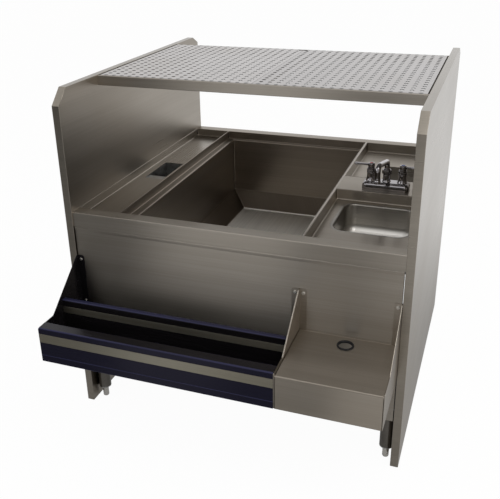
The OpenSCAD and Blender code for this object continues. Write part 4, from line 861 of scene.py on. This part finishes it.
def mix_in(tree, seen, share, shader, other):
    """Mixes another shader in by a share, for the rays that are seen."""
    part = tree.nodes.new("ShaderNodeMath")
    part.operation = "MULTIPLY"
    part.inputs[1].default_value = share
    tree.links.new(seen, part.inputs[0])
    mix = tree.nodes.new("ShaderNodeMixShader")
    tree.links.new(part.outputs[0], mix.inputs[0])
    tree.links.new(shader, mix.inputs[1])
    tree.links.new(other, mix.inputs[2])
    return mix.outputs[0]


def stage_sheet(name, corners, mat):
    mesh = bpy.data.meshes.new(name)
    mesh.from_pydata(corners, [], [tuple(range(len(corners)))])
    mesh.materials.append(mat)
    obj = bpy.data.objects.new(name, mesh)
    bpy.context.scene.collection.objects.link(obj)
    return obj


def lamp(name, at, to, size, watts, colour=(1.0, 1.0, 1.0)):
    data = bpy.data.lights.new(name, "AREA")
    data.shape = "RECTANGLE"
    data.size, data.size_y = size
    data.energy = watts
    data.color = colour
    obj = bpy.data.objects.new(name, data)
    obj.location = at
    obj.rotation_euler = (Vector(to) - Vector(at)).to_track_quat("-Z", "Y").to_euler()
    bpy.context.scene.collection.objects.link(obj)


def studio_world():
    """Dim, even light on the object, and plain white for what is seen or mirrored."""
    world = bpy.data.worlds.new("studio")
    bpy.context.scene.world = world
    world.use_nodes = True
    tree = world.node_tree
    sky = next(n for n in tree.nodes if n.type == "BACKGROUND")
    white = tree.nodes.new("ShaderNodeBackground")
    for n, colour, strength in ((sky, (1.0, 0.99, 0.97, 1.0), 0.55),
                                (white, (1.0, 1.0, 1.0, 1.0), 1.0)):
        n.inputs["Color"].default_value = colour
        n.inputs["Strength"].default_value = strength
    out = next(n for n in tree.nodes if n.type == "OUTPUT_WORLD")
    seen = seen_by(tree, "Is Camera Ray", "Is Glossy Ray", "Is Transmission Ray")
    tree.links.new(mix_in(tree, seen, 1.0, sky.outputs[0], white.outputs[0]),
                   out.inputs["Surface"])


def studio_floor():
    """Pale floor. Mirrored in the steel it is dimmer near the object and in soft lanes before it,
    whose places were chosen so that the front panel shows the photo's broad bands."""
    front_y, half, z = -0.39, 30, -0.0004
    g = Graph("pale_floor")
    at = g.axes()
    ahead = g.math("SUBTRACT", front_y, at[1])
    rise = g.math("ADD", at[0], g.math("MULTIPLY", ahead, 0.6))
    fall = g.math("ADD", at[0], g.math("MULTIPLY", ahead, 0.1))
    lane = g.math("MULTIPLY", g.ramp(rise, -0.2, -0.04, 0.2, 1.0),
                  g.ramp(fall, -0.16, 0.06, 1.0, 0.48))
    lane = g.math("MAXIMUM", lane, g.ramp(fall, 0.2, 0.42, 0.0, 0.95))
    near = g.ramp(ahead, 0.1, 0.4, 0.0, 1.0)
    lane = g.math("ADD", g.math("MULTIPLY", lane, near), g.math("SUBTRACT", 1.0, near))
    away = g.distance(at[0], at[1])
    gleam = g.math("MULTIPLY", g.ramp(away, 0.5, 2.1, 0.42, 1.0), lane)
    white, mirrored = (g.add("Emission", {"Color": (1.0, 1.0, 1.0, 1.0), "Strength": strength})
                       for strength in (1.0, gleam))
    mat = g.finish(Base_Color=(0.88, 0.88, 0.87, 1.0), Roughness=0.9, Specular_IOR_Level=0.1)
    out = next(n for n in g.tree.nodes if n.type == "OUTPUT_MATERIAL")
    shown = mix_in(g.tree, seen_by(g.tree, "Is Camera Ray", "Is Transmission Ray"), 0.97,
                   g.bsdf.outputs[0], white.outputs[0])
    shown = mix_in(g.tree, seen_by(g.tree, "Is Glossy Ray"), 0.85, shown, mirrored.outputs[0])
    g.tree.links.new(shown, out.inputs["Surface"])
    stage_sheet("studio_floor", [(-half, -half, z), (half, -half, z), (half, half, z),
                                 (-half, half, z)], mat)


def flags():
    """Dark boards far in front that only the steel mirrors."""
    mat = bpy.data.materials.new("dark_flag")
    mat.use_nodes = True
    bsdf = next(n for n in mat.node_tree.nodes if n.type == "BSDF_PRINCIPLED")
    bsdf.inputs["Base Color"].default_value = (0.02, 0.019, 0.018, 1.0)
    y = -5.2
    for name, x0, x1, top in (("flag_front_left", -7.0, -2.6, 6.0),
                              ("flag_front_right", -0.95, 0.5, 2.6)):
        flag = stage_sheet(name, [(x0, y, 0.0), (x1, y, 0.0), (x1, y, top), (x0, y, top)], mat)
        flag.visible_camera = False
        flag.visible_shadow = False
        flag.visible_diffuse = False


studio_world()
studio_floor()
flags()
lamp("key_softbox", (1.6, -1.4, 3.4), (0.1, 0.0, 0.5), (2.4, 2.0), 48.0, (1.0, 0.985, 0.965))
lamp("side_softbox", (3.4, 0.6, 1.5), (0.4, 0.0, 0.5), (2.2, 2.0), 26.0)
lamp("left_softbox", (-3.2, -1.6, 2.0), (-0.2, 0.0, 0.5), (1.6, 2.0), 20.0, (0.96, 0.98, 1.0))

# ---- Camera ----

PHOTO_W, PHOTO_H = 500, 499
FOCAL_PX = 717.4
AXIS_PX = (240.87, 228.31)           # where the camera's axis meets the photo
SENSOR = 36.0

camera = bpy.data.cameras.new("photo_view")
camera.sensor_width = SENSOR
camera.lens = FOCAL_PX * SENSOR / PHOTO_W
camera.shift_x = (PHOTO_W / 2 - AXIS_PX[0]) / PHOTO_W
camera.shift_y = (AXIS_PX[1] - PHOTO_H / 2) / PHOTO_W
camera.clip_end = 100.0
view = bpy.data.objects.new("photo_view", camera)
view.location = (0.69006, -2.13596, 1.53747)
view.rotation_euler = (1.1591, 0.0187, 0.3463)
bpy.context.scene.collection.objects.link(view)
bpy.context.scene.camera = view
bpy.context.scene.view_settings.view_transform = "Standard"
